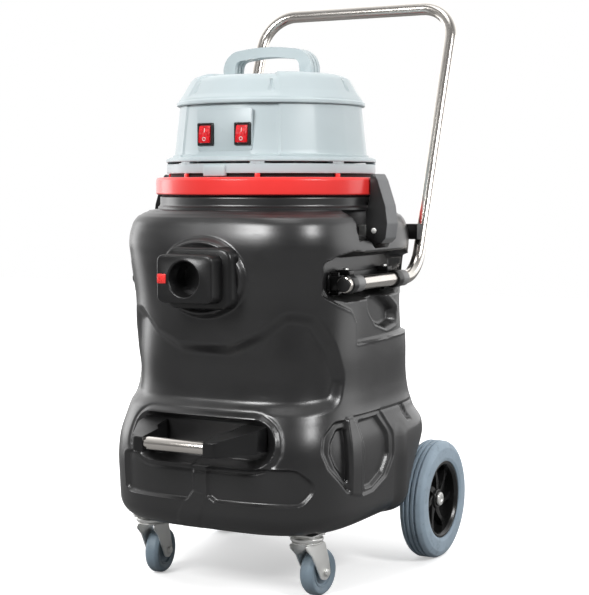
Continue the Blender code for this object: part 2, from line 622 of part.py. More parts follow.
def make_head_stack(head):
    """Motor plate, exhaust flange, shell, top cover and carry handle."""
    low, high = BAND_Z
    plate_bottom = high - 0.006
    plate = turned(((0.0, plate_bottom), (0.160, plate_bottom), (0.162, low), (BAND_RADIUS, low),
                    (BAND_RADIUS, high), (0.0, high)), LARGE_ROUND, closed=False)
    plate_piece = link("motor_plate", to_mesh("motor_plate", plate), "head_grey", head)
    for side, sign in SIDES:
        eye = rod(0.018, low - 0.01, high + 0.01, SMALL_ROUND)
        cut(plate_piece, tool("plate_eye_" + side, eye, head, (sign * MOTOR_X, 0.0, 0.0)))

    low, high = FLANGE_Z
    flange = turned(((0.0, low), (0.158, low), (BAND_RADIUS, low), (BAND_RADIUS, high - 0.002),
                     (0.168, high), (0.0, high)), LARGE_ROUND, closed=False,
                    phase=HALF_FACET)
    flange = posts(flange, low, (0.158, BAND_RADIUS), POST_ANGLES, 2.5, BAND_Z[1] + GAP - low)
    flange_piece = link("exhaust_flange", to_mesh("exhaust_flange", flange), "head_grey", head)
    for side, sign in SIDES:
        eye = rod(0.018, low - 0.01, high + 0.01, SMALL_ROUND)
        cut(flange_piece, tool("flange_eye_" + side, eye, head, (sign * MOTOR_X, 0.0, 0.0)))

    low, high = SHELL_Z
    shell = turned(((SHELL_BASE_RADIUS - SHELL_WALL, low), (SHELL_BASE_RADIUS, low),
                    (SHELL_TOP_RADIUS, high), (SHELL_TOP_RADIUS - SHELL_WALL, high)), LARGE_ROUND)
    shell_piece = link("head_shell", to_mesh("head_shell", shell), "head_grey", head)
    pocket = box((-PANEL_HALF - GAP, -0.175, PANEL_Z[0] - GAP),
                 (PANEL_HALF + GAP, PANEL_FACE_Y + 0.003, PANEL_Z[1] + GAP))
    cut(shell_piece, tool("panel_pocket_cutter", pocket, head))
    gland_hole = rod(0.0083, 0.130, 0.170, SMALL_ROUND, "Y")
    cut(shell_piece, tool("gland_hole_cutter", gland_hole, head, (0.0, 0.0, 0.715)))
    gland = turned(((0.0, 0.1465), (0.008, 0.1465), (0.008, 0.1600), (0.0135, 0.1600),
                    (0.0135, 0.166), (0.0090, 0.182), (0.0, 0.182)), SMALL_ROUND, "Y", closed=False)
    link("cable_gland", to_mesh("cable_gland", gland), "trim_black", head, (0.0, 0.0, 0.715))

    low, high = COVER_Z
    wall = 0.003
    cover = turned(((0.0, high - wall), (PLATEAU_RADIUS - 0.002, high - wall), (0.1265, 0.8160),
                    (0.1370, 0.802), (0.1490, low + 0.008), (0.1520, low), (COVER_RADIUS, low),
                    (COVER_RADIUS, low + 0.005), (0.1525, low + 0.009), (0.1400, 0.804),
                    (0.1290, 0.8180), (PLATEAU_RADIUS, high), (0.0, high)), LARGE_ROUND, closed=False)
    link("top_cover", to_mesh("top_cover", cover), "head_grey", head)

    outer = [(CARRY_HALF, high + GAP)] + arc((CARRY_HALF - 0.030, CARRY_TOP - 0.030), 0.030, 0, 90, 5)
    outer += [(-x, z) for x, z in reversed(outer)]
    gap_half, gap_top = CARRY_GAP
    inner = [(-gap_half, high + GAP)] + [(-x, z) for x, z in
                                         arc((gap_half - 0.008, gap_top - 0.008), 0.008, 0, 90, 3)]
    inner += [(-x, z) for x, z in reversed(inner)]
    carry = prism(outer + inner, -CARRY_DEPTH / 2.0, CARRY_DEPTH / 2.0, "Y")
    carry_piece = link("carry_handle", to_mesh("carry_handle", carry), "head_grey", head)
    bevel = carry_piece.modifiers.new("edge", "BEVEL")
    bevel.width = 0.003
    bevel.segments = 1
    bevel.limit_method = "ANGLE"
    bevel.angle_limit = math.radians(50.0)

    foam = turned(((0.130, FLANGE_Z[1] + GAP), (0.141, FLANGE_Z[1] + GAP), (0.141, 0.752),
                   (0.130, 0.752)), MEDIUM_ROUND)
    link("sound_foam", to_mesh("sound_foam", foam), "foam", head)


def make_switches(head):
    """The control plate in its pocket with two framed rocker switches."""
    plate = box((-PANEL_HALF, PANEL_FACE_Y, PANEL_Z[0]),
                (PANEL_HALF, PANEL_FACE_Y + 0.003 - GAP, PANEL_Z[1]))
    link("switch_panel", to_mesh("switch_panel", plate), "head_grey", head)
    frame_back = PANEL_FACE_Y - GAP
    frame_front = PANEL_FACE_Y - 0.0050
    for side, sign in SIDES:
        x = sign * SWITCH_X
        frame = box((x - BEZEL_HALF[0], frame_front, SWITCH_Z - BEZEL_HALF[1]),
                    (x + BEZEL_HALF[0], frame_back, SWITCH_Z + BEZEL_HALF[1]))
        name = "switch_frame_" + side
        piece = link(name, to_mesh(name, frame), "trim_black", head)
        reach = ROCKER_HALF[1] + ROCKER_PLAY
        window = box((x - ROCKER_HALF[0] - 0.0005, frame_front - 0.01, SWITCH_Z - reach),
                     (x + ROCKER_HALF[0] + 0.0005, frame_back + 0.01, SWITCH_Z + reach))
        cut(piece, tool(name + "_window", window, head))
        # outline of y and z from the rocker's pin: the upper half is pressed in at rest
        push = ROCKER_HALF[1] * math.tan(math.radians(ROCKER_TILT))
        outline = ((0.0008 + push * 0.45, ROCKER_HALF[1]), (-0.0032 + push, ROCKER_HALF[1]),
                   (-0.0045, 0.0), (-0.0032 - push, -ROCKER_HALF[1]),
                   (0.0008 - push * 0.45, -ROCKER_HALF[1]))
        rocker = prism(outline, -ROCKER_HALF[0], ROCKER_HALF[0], "X")
        name = "switch_rocker_" + side
        link(name, to_mesh(name, rocker), "rocker_red", head, (x, PANEL_FACE_Y - ROCKER_PIN, SWITCH_Z))


def make_motors(head):
    """Two suction motors, each a can over a fan that spins on an upright shaft."""
    low, high = MOTOR_Z
    for side, sign in SIDES:
        centre = empty("motor_axis_" + side, (sign * MOTOR_X, 0.0, 0.0), head)
        can = turned(((0.0, high - 0.006), (0.032, high - 0.010), (0.032, low + 0.034),
                      (0.046, low + 0.030), (0.046, low), (MOTOR_RADIUS, low),
                      (MOTOR_RADIUS, low + 0.036), (0.040, low + 0.040), (0.040, high - 0.008),
                      (0.034, high), (0.0, high)), 20, closed=False)
        link("motor_can_" + side, to_mesh("motor_can_" + side, can), "trim_grey", centre)
        fan = turned(((0.0, low + 0.003), (0.042, low + 0.003), (0.042, low + 0.0045),
                      (0.012, low + 0.006), (0.010, low + 0.024), (0.006, low + 0.026),
                      (0.006, low + 0.050), (0.026, low + 0.052), (0.026, high - 0.022),
                      (0.005, high - 0.020), (0.004, high - 0.010), (0.0, high - 0.010)),
                     16, closed=False)
        piece = link("motor_fan_" + side, to_mesh("motor_fan_" + side, fan), "zinc", centre)
        for count in range(3):
            blade = box((-0.040, -0.0008, low + 0.004), (0.040, 0.0008, low + 0.020))
            bmesh.ops.rotate(blade, verts=blade.verts,
                             matrix=Matrix.Rotation(math.pi * count / 3.0, 3, "Z"))
            cut(piece, tool("fan_blade_%s_%d" % (side, count), blade, centre), "UNION")


# ---------------------------------------------------------------- running gear
def make_castor(parent, side, sign):
    """A swivel castor: raceway plate, fork, axle bolt and wheel."""
    swivel = empty("castor_swivel_" + side, (sign * CASTOR_X, CASTOR_Y, 0.0), parent, CASTOR_YAW[side])
    plate = turned(((0.0, 0.0925), (0.0245, 0.0925), (0.0260, 0.0940), (0.0260, 0.0990),
                    (0.0225, 0.1015), (0.0225, CASTOR_TOP), (0.0, CASTOR_TOP)), 20, closed=False)
    link("castor_plate_" + side, to_mesh("castor_plate_" + side, plate), "zinc", parent,
         (sign * CASTOR_X, CASTOR_Y, 0.0))
    name = "castor_fork_" + side
    outline = [(-0.024, 0.0920), (-0.025, 0.0860), (-0.016, 0.0780)]
    outline += arc((CASTOR_TRAIL, CASTOR_RADIUS), 0.0110, 215.0, 385.0, 6)
    outline += [(0.037, 0.0640), (0.029, 0.0860), (0.024, 0.0920)]
    half = CASTOR_WIDTH / 2.0
    fork = link(name, to_mesh(name, prism(outline, -half - 0.0045, half + 0.0045)), "zinc", swivel)
    slot = box((-half - 0.0018, -0.05, 0.0), (half + 0.0018, 0.09, 0.0875))
    cut(fork, tool(name + "_slot", slot, swivel))
    bolt_hole = rod(0.0043, -0.03, 0.03, SMALL_ROUND, "X")
    cut(fork, tool(name + "_hole", bolt_hole, swivel, (0.0, CASTOR_TRAIL, CASTOR_RADIUS)))
    bolt = turned(((0.0, -half - 0.0082), (0.0065, -half - 0.0082), (0.0065, -half - 0.0048),
                   (0.0040, -half - 0.0048), (0.0040, half + 0.0048), (0.0065, half + 0.0048),
                   (0.0065, half + 0.0082), (0.0, half + 0.0082)), SMALL_ROUND, "X", closed=False)
    link("castor_axle_" + side, to_mesh("castor_axle_" + side, bolt), "zinc", swivel,
         (0.0, CASTOR_TRAIL, CASTOR_RADIUS))
    steps = MEDIUM_ROUND
    rim = CASTOR_RADIUS / math.cos(math.pi / steps)
    wheel = turned(((0.0043, -half), (rim - 0.006, -half), (rim, -half + 0.005),
                    (rim, half - 0.005), (rim - 0.006, half), (0.0043, half)), steps, "X",
                   phase=math.pi / steps)
    link("castor_wheel_" + side, to_mesh("castor_wheel_" + side, wheel), "tyre_grey", swivel,
         (0.0, CASTOR_TRAIL, CASTOR_RADIUS))


def make_rear_wheels(parent):
    """The axle across the back and a tyred wheel with a cap on each end."""
    axle = rod(AXLE_RADIUS, -0.2170, 0.2170, 16, "X", 0.001)
    link("rear_axle", to_mesh("rear_axle", axle), "zinc", parent, (0.0, WHEEL_Y, WHEEL_RADIUS))
    half = WHEEL_WIDTH / 2.0
    steps = LARGE_ROUND
    tread = WHEEL_RADIUS / math.cos(math.pi / steps)
    for side, sign in SIDES:
        hub_axis = empty("wheel_axis_" + side, (sign * WHEEL_X, WHEEL_Y, WHEEL_RADIUS), parent)
        tyre = turned(((HUB_RADIUS + GAP, -half), (tread - 0.008, -half), (tread, -half + 0.008),
                       (tread, half - 0.008), (tread - 0.008, half), (HUB_RADIUS + GAP, half)),
                      steps, "X", phase=math.pi / steps)
        link("rear_tyre_" + side, to_mesh("rear_tyre_" + side, tyre), "tyre_grey", hub_axis)
        web = (0.0000, 0.0060)
        profile = [(AXLE_RADIUS + GAP, -0.012), (0.016, -0.012), (0.016, web[0]), (0.057, web[0]),
                   (0.060, -half + 0.004), (HUB_RADIUS, -half + 0.004), (HUB_RADIUS, half - 0.004),
                   (0.060, half - 0.004), (0.057, web[1]), (0.016, web[1]), (0.016, 0.0102),
                   (AXLE_RADIUS + GAP, 0.0102)]
        hub = turned([(radius, sign * station_x) for radius, station_x in profile], LARGE_ROUND // 2, "X")
        name = "rear_hub_" + side
        hub_piece = link(name, to_mesh(name, hub), "trim_black", hub_axis)
        for count in range(5):
            angle = 2.0 * math.pi * (count + 0.5) / 5.0
            opening = prism(rounded_outline(0.0135, 0.0130, 0.006, 1, (0.0, 0.037)), -0.03, 0.03, "X")
            bmesh.ops.rotate(opening, verts=opening.verts, matrix=Matrix.Rotation(angle, 3, "X"))
            cut(hub_piece, tool("%s_opening_%d" % (name, count), opening, hub_axis))
        cap_x = sorted((sign * 0.0105, sign * 0.0155))
        cap = rod(CAP_RADIUS, cap_x[0], cap_x[1], 16, "X")
        link("axle_cap_" + side, to_mesh("axle_cap_" + side, cap), "zinc", hub_axis)


def main():
    """Build every piece of the vacuum."""
    clear_scene()
    frame = empty("tank_axis", (0.0, AXIS_Y, 0.0))
    make_tank(frame)
    make_seal(frame)
    make_inlet(frame)
    make_push_handle(frame)
    make_tip_handle(frame)
    make_latches(frame)
    head = empty("head_assembly", (0.0, 0.0, 0.0), frame)
    make_filter_group(head)
    make_head_stack(head)
    make_switches(head)
    make_motors(head)
    for side, sign in SIDES:
        make_castor(frame, side, sign)
    make_rear_wheels(frame)


main()
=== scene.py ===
"""Looks of a wheeled wet and dry shop vacuum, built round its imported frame.

Metres, +Z up. The front, with the hose inlet, faces -Y. Pieces are laid out about the tank's
upright axis, which stands a little ahead of the origin.
"""
import logging
import math
from dataclasses import dataclass
from enum import Enum
from typing import Callable, Sequence

import bmesh
import bpy
import numpy as np
from mathutils import Matrix, Vector


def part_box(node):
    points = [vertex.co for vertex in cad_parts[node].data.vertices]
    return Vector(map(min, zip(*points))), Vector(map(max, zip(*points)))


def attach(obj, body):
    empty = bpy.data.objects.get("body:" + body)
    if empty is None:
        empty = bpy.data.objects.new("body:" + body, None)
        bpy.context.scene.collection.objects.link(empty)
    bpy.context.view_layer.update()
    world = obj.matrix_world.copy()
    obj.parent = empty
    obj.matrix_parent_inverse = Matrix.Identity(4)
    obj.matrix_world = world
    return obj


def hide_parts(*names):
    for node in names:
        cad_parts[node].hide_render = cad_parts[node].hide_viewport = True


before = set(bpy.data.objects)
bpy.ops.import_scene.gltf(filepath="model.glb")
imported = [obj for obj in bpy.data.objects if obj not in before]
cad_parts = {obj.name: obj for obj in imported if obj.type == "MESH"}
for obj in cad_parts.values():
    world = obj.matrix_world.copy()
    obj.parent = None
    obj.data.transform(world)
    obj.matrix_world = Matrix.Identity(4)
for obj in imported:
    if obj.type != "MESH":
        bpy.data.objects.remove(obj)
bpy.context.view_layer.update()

LOG = logging.getLogger("shop_vacuum")

Flat = tuple[float, float]
Spot = tuple[float, float, float]
Colour = tuple[float, float, float]
Shape = bmesh.types.BMesh
Socket = bpy.types.NodeSocket

SEAL_LOW, SEAL_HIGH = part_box("tank_seal")
AXIS: Spot = (0.0, (SEAL_LOW.y + SEAL_HIGH.y) / 2.0, 0.0)   # foot of the tank's axis
SIDES: tuple[tuple[str, float], ...] = (("left", -1.0), ("right", 1.0))


class Axis(Enum):
    """A direction that a turned or drawn shape stands along."""

    X = Matrix.Rotation(math.pi / 2.0, 4, "Y")
    Y = Matrix.Rotation(-math.pi / 2.0, 4, "X")
    Z = Matrix.Identity(4)


# ---------------- outlines and solids
def rounded(corners: Sequence[Spot], closed: bool = True, steps: int = 5) -> list[Flat]:
    """Round the corners of a flat outline.

    Args:
        corners: Each corner's two coordinates and its radius.
        closed: Whether the last corner joins the first.
        steps: Straight stretches in one corner.

    Returns:
        The outline's points.
    """
    points: list[Flat] = []
    count = len(corners)
    for index, (u, v, radius) in enumerate(corners):
        here = Vector((u, v))
        before = Vector(corners[index - 1][:2]) - here
        after = Vector(corners[(index + 1) % count][:2]) - here
        end = not closed and index in (0, count - 1)
        if end or radius <= 0.0 or before.angle(after, math.pi) > math.pi - 1e-3:
            points.append((u, v))
            continue
        half = before.angle(after) / 2.0
        room = [0.499 if corners[near % count][2] > 0.0 else 0.98 for near in (index - 1, index + 1)]
        reach = min(radius / math.tan(half), room[0] * before.length, room[1] * after.length)
        bend = reach * math.tan(half)
        before.normalize()
        after.normalize()
        centre = here + (before + after).normalized() * (bend / math.sin(half))
        first, last = here + before * reach - centre, here + after * reach - centre
        start = math.atan2(first.y, first.x)
        sweep = (math.atan2(last.y, last.x) - start + math.pi) % (2.0 * math.pi) - math.pi
        for step in range(steps + 1):
            angle = start + sweep * step / steps
            points.append((centre.x + bend * math.cos(angle), centre.y + bend * math.sin(angle)))
    return points


def rectangle(half_u: float, half_v: float, radius: float, centre: Flat = (0.0, 0.0)) -> list[Spot]:
    """Corners of a rounded rectangle, for rounded().

    Args:
        half_u: Half its first side.
        half_v: Half its second side.
        radius: Radius of its corners.
        centre: Its middle.

    Returns:
        The corners.
    """
    u, v = centre
    return [(u + half_u, v - half_v, radius), (u + half_u, v + half_v, radius),
            (u - half_u, v + half_v, radius), (u - half_u, v - half_v, radius)]


def mirrored(side: Sequence[Spot]) -> list[Spot]:
    """The far half of a profile that is the same on both sides of station 0, in order."""
    return [(u, -v, radius) for u, v, radius in reversed(side)]


def by_bearing(outline: Sequence[Flat], count: int) -> list[Flat]:
    """Sample a star-shaped outline at even bearings about the origin.

    Args:
        outline: The closed outline's points.
        count: How many bearings.

    Returns:
        One point of the outline for each bearing.
    """
    loop = np.array(outline)
    following = np.roll(loop, -1, axis=0)
    span = following - loop
    points: list[Flat] = []
    for index in range(count):
        angle = 2.0 * math.pi * index / count
        ray = np.array((math.cos(angle), math.sin(angle)))
        bar = ray[0] * span[:, 1] - ray[1] * span[:, 0]
        bar = np.where(np.abs(bar) < 1e-12, 1e-12, bar)
        along = (loop[:, 0] * span[:, 1] - loop[:, 1] * span[:, 0]) / bar
        share = (loop[:, 0] * ray[1] - loop[:, 1] * ray[0]) / bar
        hits = along[(share >= -1e-9) & (share <= 1.0 + 1e-9) & (along > 0.0)]
        reach = float(hits.max()) if len(hits) else 0.0
        points.append((reach * ray[0], reach * ray[1]))
    return points


def loft(rings: Sequence[Sequence[Spot]], cap_first: bool = True, cap_last: bool = True) -> Shape:
    """Skin a row of rings that have equally many points.

    Args:
        rings: The rings, each a closed loop of points.
        cap_first: Whether a face closes the first ring.
        cap_last: Whether a face closes the last ring.

    Returns:
        The skin.
    """
    shape = bmesh.new()
    rows = [[shape.verts.new(point) for point in ring] for ring in rings]
    for lower, upper in zip(rows, rows[1:]):
        for index in range(len(lower)):
            after = (index + 1) % len(lower)
            shape.faces.new((lower[index], lower[after], upper[after], upper[index]))
    if cap_first:
        shape.faces.new(rows[0])
    if cap_last:
        shape.faces.new(rows[-1])
    return shape


def lathe(profile: Sequence[Flat], steps: int, axis: Axis = Axis.Z) -> Shape:
    """Turn a profile of radius and station about an axis.

    Args:
        profile: Points of radius and station. A profile that starts on the axis also ends there.
        steps: Facets in the full turn.
        axis: The direction that the axis points.

    Returns:
        The turned shape.
    """
    shape = bmesh.new()
    loop = list(profile) + ([] if profile[0][0] == 0.0 else [profile[0]])
    columns = []
    for step in range(steps):
        angle = 2.0 * math.pi * step / steps
        columns.append([shape.verts.new((radius * math.cos(angle), radius * math.sin(angle), rise))
                        for radius, rise in loop])
    for index, column in enumerate(columns):
        beside = columns[(index + 1) % steps]
        for low in range(len(loop) - 1):
            shape.faces.new((column[low], beside[low], beside[low + 1], column[low + 1]))
    bmesh.ops.remove_doubles(shape, verts=shape.verts, dist=1e-7)
    bmesh.ops.transform(shape, matrix=axis.value, verts=shape.verts)
    return shape


def slab(outline: Sequence[Flat], start: float, end: float, axis: Axis,
         bevel: float = 0.0, segments: int = 3) -> Shape:
    """Draw a flat outline out along an axis and round its rims.

    Args:
        outline: Points of the other two axes, in the order X, Y, Z.
        start: Station of the first face.
        end: Station of the last face.
        axis: The direction that the slab is drawn along.
        bevel: Radius of the rims.
        segments: Facets across a rim.

    Returns:
        The slab.
    """
    def spot(pair: Flat, station: float) -> Spot:
        """Place an outline point at a station."""
        return {Axis.X: (station, *pair), Axis.Y: (pair[0], station, pair[1]),
                Axis.Z: (*pair, station)}[axis]

    shape = loft([[spot(pair, start) for pair in outline], [spot(pair, end) for pair in outline]])
    if bevel:
        rims = [edge for edge in shape.edges
                if any(len(face.verts) == len(outline) and len(outline) != 4 for face in edge.link_faces)
                or len(outline) == 4]
        bmesh.ops.bevel(shape, geom=rims, offset=bevel, segments=segments, affect="EDGES", profile=0.5)
    return shape


def block(low: Spot, high: Spot, bevel: float, segments: int = 3) -> Shape:
    """A block between two corners with all of its edges rounded."""
    outline = [(low[1], low[2]), (high[1], low[2]), (high[1], high[2]), (low[1], high[2])]
    return slab(outline, low[0], high[0], Axis.X, bevel, segments)


def sweep(path: Sequence[Spot], section: Sequence[Flat]) -> Shape:
    """Carry a section along a path without twist.

    Args:
        path: Points of the centre line.
        section: The section's points, across and up.

    Returns:
        The swept shape.
    """
    points = [Vector(point) for point in path]
    tangents = [(points[min(i + 1, len(points) - 1)] - points[max(i - 1, 0)]).normalized()
                for i in range(len(points))]
    side = tangents[0].orthogonal().normalized()
    rings = []
    for point, tangent in zip(points, tangents):
        side = (side - tangent * side.dot(tangent)).normalized()
        up = tangent.cross(side)
        rings.append([tuple(point + side * a + up * b) for a, b in section])
    return loft(rings)


def stretch(start: Flat, end: Flat, spacing: float) -> list[Flat]:
    """Points from a start up to, but not at, an end, no closer together than a spacing.

    Args:
        start: The first point.
        end: The point it runs up to.
        spacing: The least distance between points.

    Returns:
        The points.
    """
    across, along = end[0] - start[0], end[1] - start[1]
    parts = max(1, int(math.hypot(across, along) / spacing))
    return [(start[0] + across * k / parts, start[1] + along * k / parts) for k in range(parts)]


def circle(radius: float, count: int) -> list[Flat]:
    """Points of a circle."""
    return [(radius * math.cos(2.0 * math.pi * i / count), radius * math.sin(2.0 * math.pi * i / count))
            for i in range(count)]


def merge(*shapes: Shape) -> Shape:
    """Gather several shapes into the first.

    Args:
        shapes: The shapes, of which the first is kept.

    Returns:
        The first shape.
    """
    first = shapes[0]
    for other in shapes[1:]:
        mesh = bpy.data.meshes.new("gathered")
        other.to_mesh(mesh)
        other.free()
        first.from_mesh(mesh)
        bpy.data.meshes.remove(mesh)
    return first


def moved(shape: Shape, offset: Spot = (0.0, 0.0, 0.0), turn: float = 0.0,
          about: str = "Z") -> Shape:
    """Turn a shape about an axis of its own, in degrees, and then move it.

    Args:
        shape: The shape.
        offset: How far it moves.
        turn: How far it turns.
        about: The letter of the axis.

    Returns:
        The same shape.
    """
    bmesh.ops.rotate(shape, verts=shape.verts, matrix=Matrix.Rotation(math.radians(turn), 3, about))
    bmesh.ops.translate(shape, verts=shape.verts, vec=offset)
    return shape


def smooth_step(value: np.ndarray) -> np.ndarray:
    """Ease from 0 to 1 for values from 0 to 1."""
    held = np.clip(value, 0.0, 1.0)
    return held * held * (3.0 - 2.0 * held)


def inside_distance(u: np.ndarray, v: np.ndarray, outline: Sequence[Flat]) -> np.ndarray:
    """Distance to a closed outline, positive inside it.

    Args:
        u: First coordinates of the places asked for.
        v: Second coordinates.
        outline: The outline's points.

    Returns:
        The signed distances.
    """
    nearest = np.full(u.shape, np.inf)
    within = np.zeros(u.shape, bool)
    for (au, av), (bu, bv) in zip(outline, [*outline[1:], outline[0]]):
        du, dv = bu - au, bv - av
        share = np.clip(((u - au) * du + (v - av) * dv) / max(du * du + dv * dv, 1e-12), 0.0, 1.0)
        nearest = np.minimum(nearest, np.hypot(u - au - share * du, v - av - share * dv))
        if av != bv:
            within ^= ((av > v) != (bv > v)) & (u < au + (v - av) * du / dv)
    return np.where(within, nearest, -nearest)


# ---------------- node sheets and effects
class Sheet:
    """A node tree with short calls for making and joining nodes."""

    def __init__(self, tree: bpy.types.NodeTree) -> None:
        """Keep the tree."""
        self.tree = tree

    def add(self, kind: str, links: dict | None = None, **values: object) -> bpy.types.Node:
        """Make a node.

        Args:
            kind: The node's type name without its Shader prefix.
            links: Sockets or constants for the node's inputs, by input name or number.
            values: Properties of the node.

        Returns:
            The node.
        """
        node = self.tree.nodes.new("ShaderNode" + kind)
        for name, value in values.items():
            setattr(node, name, value)
        for name, value in (links or {}).items():
            self.feed(node.inputs[name], value)
        return node

    def feed(self, socket: Socket, value: object) -> None:
        """Link a socket to an input, or set the input's constant.

        Args:
            socket: The input.
            value: A socket or a constant.
        """
        if isinstance(value, Socket):
            self.tree.links.new(value, socket)
        else:
            socket.default_value = value

    def math(self, operation: str, first: object, second: object, third: object = 0.0,
             clamp: bool = False) -> Socket:
        """Make a Math node and return its result."""
        node = self.add("Math", {0: first, 1: second, 2: third}, operation=operation, use_clamp=clamp)
        return node.outputs[0]

    def noise(self, scale: float, detail: float, vector: object,
              roughness: float = 0.5) -> Socket:
        """Make a noise texture and return its value.

        Args:
            scale: Cells in a metre.
            detail: Finer layers.
            vector: Where it is sampled.
            roughness: Share of the finer layers.

        Returns:
            The value.
        """
        node = self.add("TexNoise", {"Vector": vector, "Scale": scale, "Detail": detail,
                                     "Roughness": roughness})
        return node.outputs["Fac"]

    def place(self) -> Socket:
        """The surface's place in its object."""
        return self.add("TexCoord").outputs["Object"]

    def mix(self, share: object, first: object, second: object) -> Socket:
        """Mix two colours.

        Args:
            share: Share of the second.
            first: A colour or socket.
            second: A colour or socket.

        Returns:
            The mixed colour.
        """
        node = self.add("Mix", data_type="RGBA")
        self.feed(node.inputs[0], share)
        self.feed(node.inputs[6], first)
        self.feed(node.inputs[7], second)
        return node.outputs[2]

    def band(self, value: object, low: float, high: float, start: float = 0.0,
             end: float = 1.0) -> Socket:
        """Map a range onto another one, eased at its ends and held outside.

        Args:
            value: The value.
            low: Start of its range.
            high: End of its range.
            start: Result at low.
            end: Result at high.

        Returns:
            The mapped value.
        """
        node = self.add("MapRange", {"Value": value, "From Min": low, "From Max": high,
                                     "To Min": start, "To Max": end}, interpolation_type="SMOOTHSTEP")
        return node.outputs[0]


class Effect(Enum):
    """A surface effect that several finishes share."""

    GRAIN = "moulded_grain"
    DRIFT = "tone_drift"
    WEAR = "edge_wear"
    DUST = "settled_dust"
    SCUFFS = "fine_scuffs"
    BRUSHING = "brushed_lines"

    def group(self) -> bpy.types.NodeTree:
        """Return this effect's node group, built on its first use.

        Returns:
            The group.
        """
        found = bpy.data.node_groups.get(self.value)
        if found:
            return found
        tree = bpy.data.node_groups.new(self.value, "ShaderNodeTree")
        builders: dict[Effect, Callable[[bpy.types.NodeTree], None]] = {
            Effect.GRAIN: build_grain, Effect.DRIFT: build_drift, Effect.WEAR: build_wear,
            Effect.DUST: build_dust, Effect.SCUFFS: build_scuffs, Effect.BRUSHING: build_brushing}
        builders[self](tree)
        return tree

    def use(self, sheet: Sheet, **inputs: object) -> Socket:
        """Place the effect in a material.

        Args:
            sheet: The material's sheet.
            inputs: Values or sockets by input name, with _ for a space.

        Returns:
            The effect's output.
        """
        node = sheet.add("Group", node_tree=self.group())
        for name, value in inputs.items():
            sheet.feed(node.inputs[name.replace("_", " ")], value)
        return node.outputs[0]


def group_sheet(tree: bpy.types.NodeTree, inputs: Sequence[tuple[str, str, object]],
                output: tuple[str, str]) -> tuple[Sheet, bpy.types.Node, bpy.types.Node]:
    """Give a node group its sockets.

    Args:
        tree: The empty group.
        inputs: Each input's name, socket type and default.
        output: The output's name and socket type.

    Returns:
        The group's sheet, its input node and its output node.
    """
    for name, kind, value in inputs:
        socket = tree.interface.new_socket(name, in_out="INPUT", socket_type="NodeSocket" + kind)
        socket.default_value = value
    tree.interface.new_socket(output[0], in_out="OUTPUT", socket_type="NodeSocket" + output[1])
    return Sheet(tree), tree.nodes.new("NodeGroupInput"), tree.nodes.new("NodeGroupOutput")


def build_grain(tree: bpy.types.NodeTree) -> None:
    """Fine pebbled height that a mould's texture leaves.

    Args:
        tree: The empty group.
    """
    sheet, given, result = group_sheet(tree, (("Scale", "Float", 900.0),), ("Height", "Float"))
    place = sheet.place()
    cells = sheet.add("TexVoronoi", {"Vector": place, "Scale": given.outputs["Scale"]},
                      feature="SMOOTH_F1")
    pebble = sheet.math("MULTIPLY", cells.outputs["Distance"], 0.7)
    waves = sheet.math("MULTIPLY", sheet.noise(60.0, 2.0, place), 0.5)
    sheet.feed(result.inputs["Height"], sheet.math("ADD", pebble, waves))


def build_drift(tree: bpy.types.NodeTree) -> None:
    """Slow change between two tones of one material.

    Args:
        tree: The empty group.
    """
    sheet, given, result = group_sheet(
        tree, (("Tone", "Color", (0.5, 0.5, 0.5, 1.0)), ("Deep Tone", "Color", (0.4, 0.4, 0.4, 1.0)),
               ("Scale", "Float", 8.0), ("Fleck", "Float", 0.1)), ("Colour", "Color"))
    place = sheet.place()
    cloud = sheet.add("TexNoise", {"Vector": place, "Scale": given.outputs["Scale"], "Detail": 3.0})
    fleck = sheet.math("MULTIPLY", sheet.noise(420.0, 1.0, place), given.outputs["Fleck"])
    share = sheet.math("ADD", sheet.band(cloud.outputs["Fac"], 0.35, 0.65), fleck, clamp=True)
    sheet.feed(result.inputs["Colour"], sheet.mix(share, given.outputs["Tone"], given.outputs["Deep Tone"]))


def build_wear(tree: bpy.types.NodeTree) -> None:
    """Mask of edges that handling has rubbed.

    Args:
        tree: The empty group.
    """
    sheet, given, result = group_sheet(tree, (("Radius", "Float", 0.0015), ("Amount", "Float", 0.6)),
                                       ("Mask", "Float"))
    round_edge = sheet.add("Bevel", {"Radius": given.outputs["Radius"]}, samples=4)
    surface = sheet.add("NewGeometry")
    turn = sheet.add("VectorMath", {0: round_edge.outputs[0], 1: surface.outputs["Normal"]},
                     operation="DOT_PRODUCT")
    edge = sheet.band(turn.outputs["Value"], 0.99, 0.88)
    broken = sheet.band(sheet.noise(95.0, 4.0, sheet.place()), 0.38, 0.62)
    mask = sheet.math("MULTIPLY", sheet.math("MULTIPLY", edge, broken), given.outputs["Amount"])
    sheet.feed(result.inputs["Mask"], mask)


def build_dust(tree: bpy.types.NodeTree) -> None:
    """Mask of fine dust on faces that look up.

    Args:
        tree: The empty group.
    """
    sheet, given, result = group_sheet(tree, (("Amount", "Float", 0.1), ("Scale", "Float", 30.0)),
                                       ("Mask", "Float"))
    surface = sheet.add("NewGeometry")
    parts = sheet.add("SeparateXYZ", {0: surface.outputs["Normal"]})
    up = sheet.band(parts.outputs["Z"], 0.2, 0.95)
    cloud = sheet.add("TexNoise", {"Vector": sheet.place(), "Scale": given.outputs["Scale"], "Detail": 5.0})
    patch = sheet.band(cloud.outputs["Fac"], 0.4, 0.7, 0.3, 1.0)
    mask = sheet.math("MULTIPLY", sheet.math("MULTIPLY", up, patch), given.outputs["Amount"])
    sheet.feed(result.inputs["Mask"], mask)


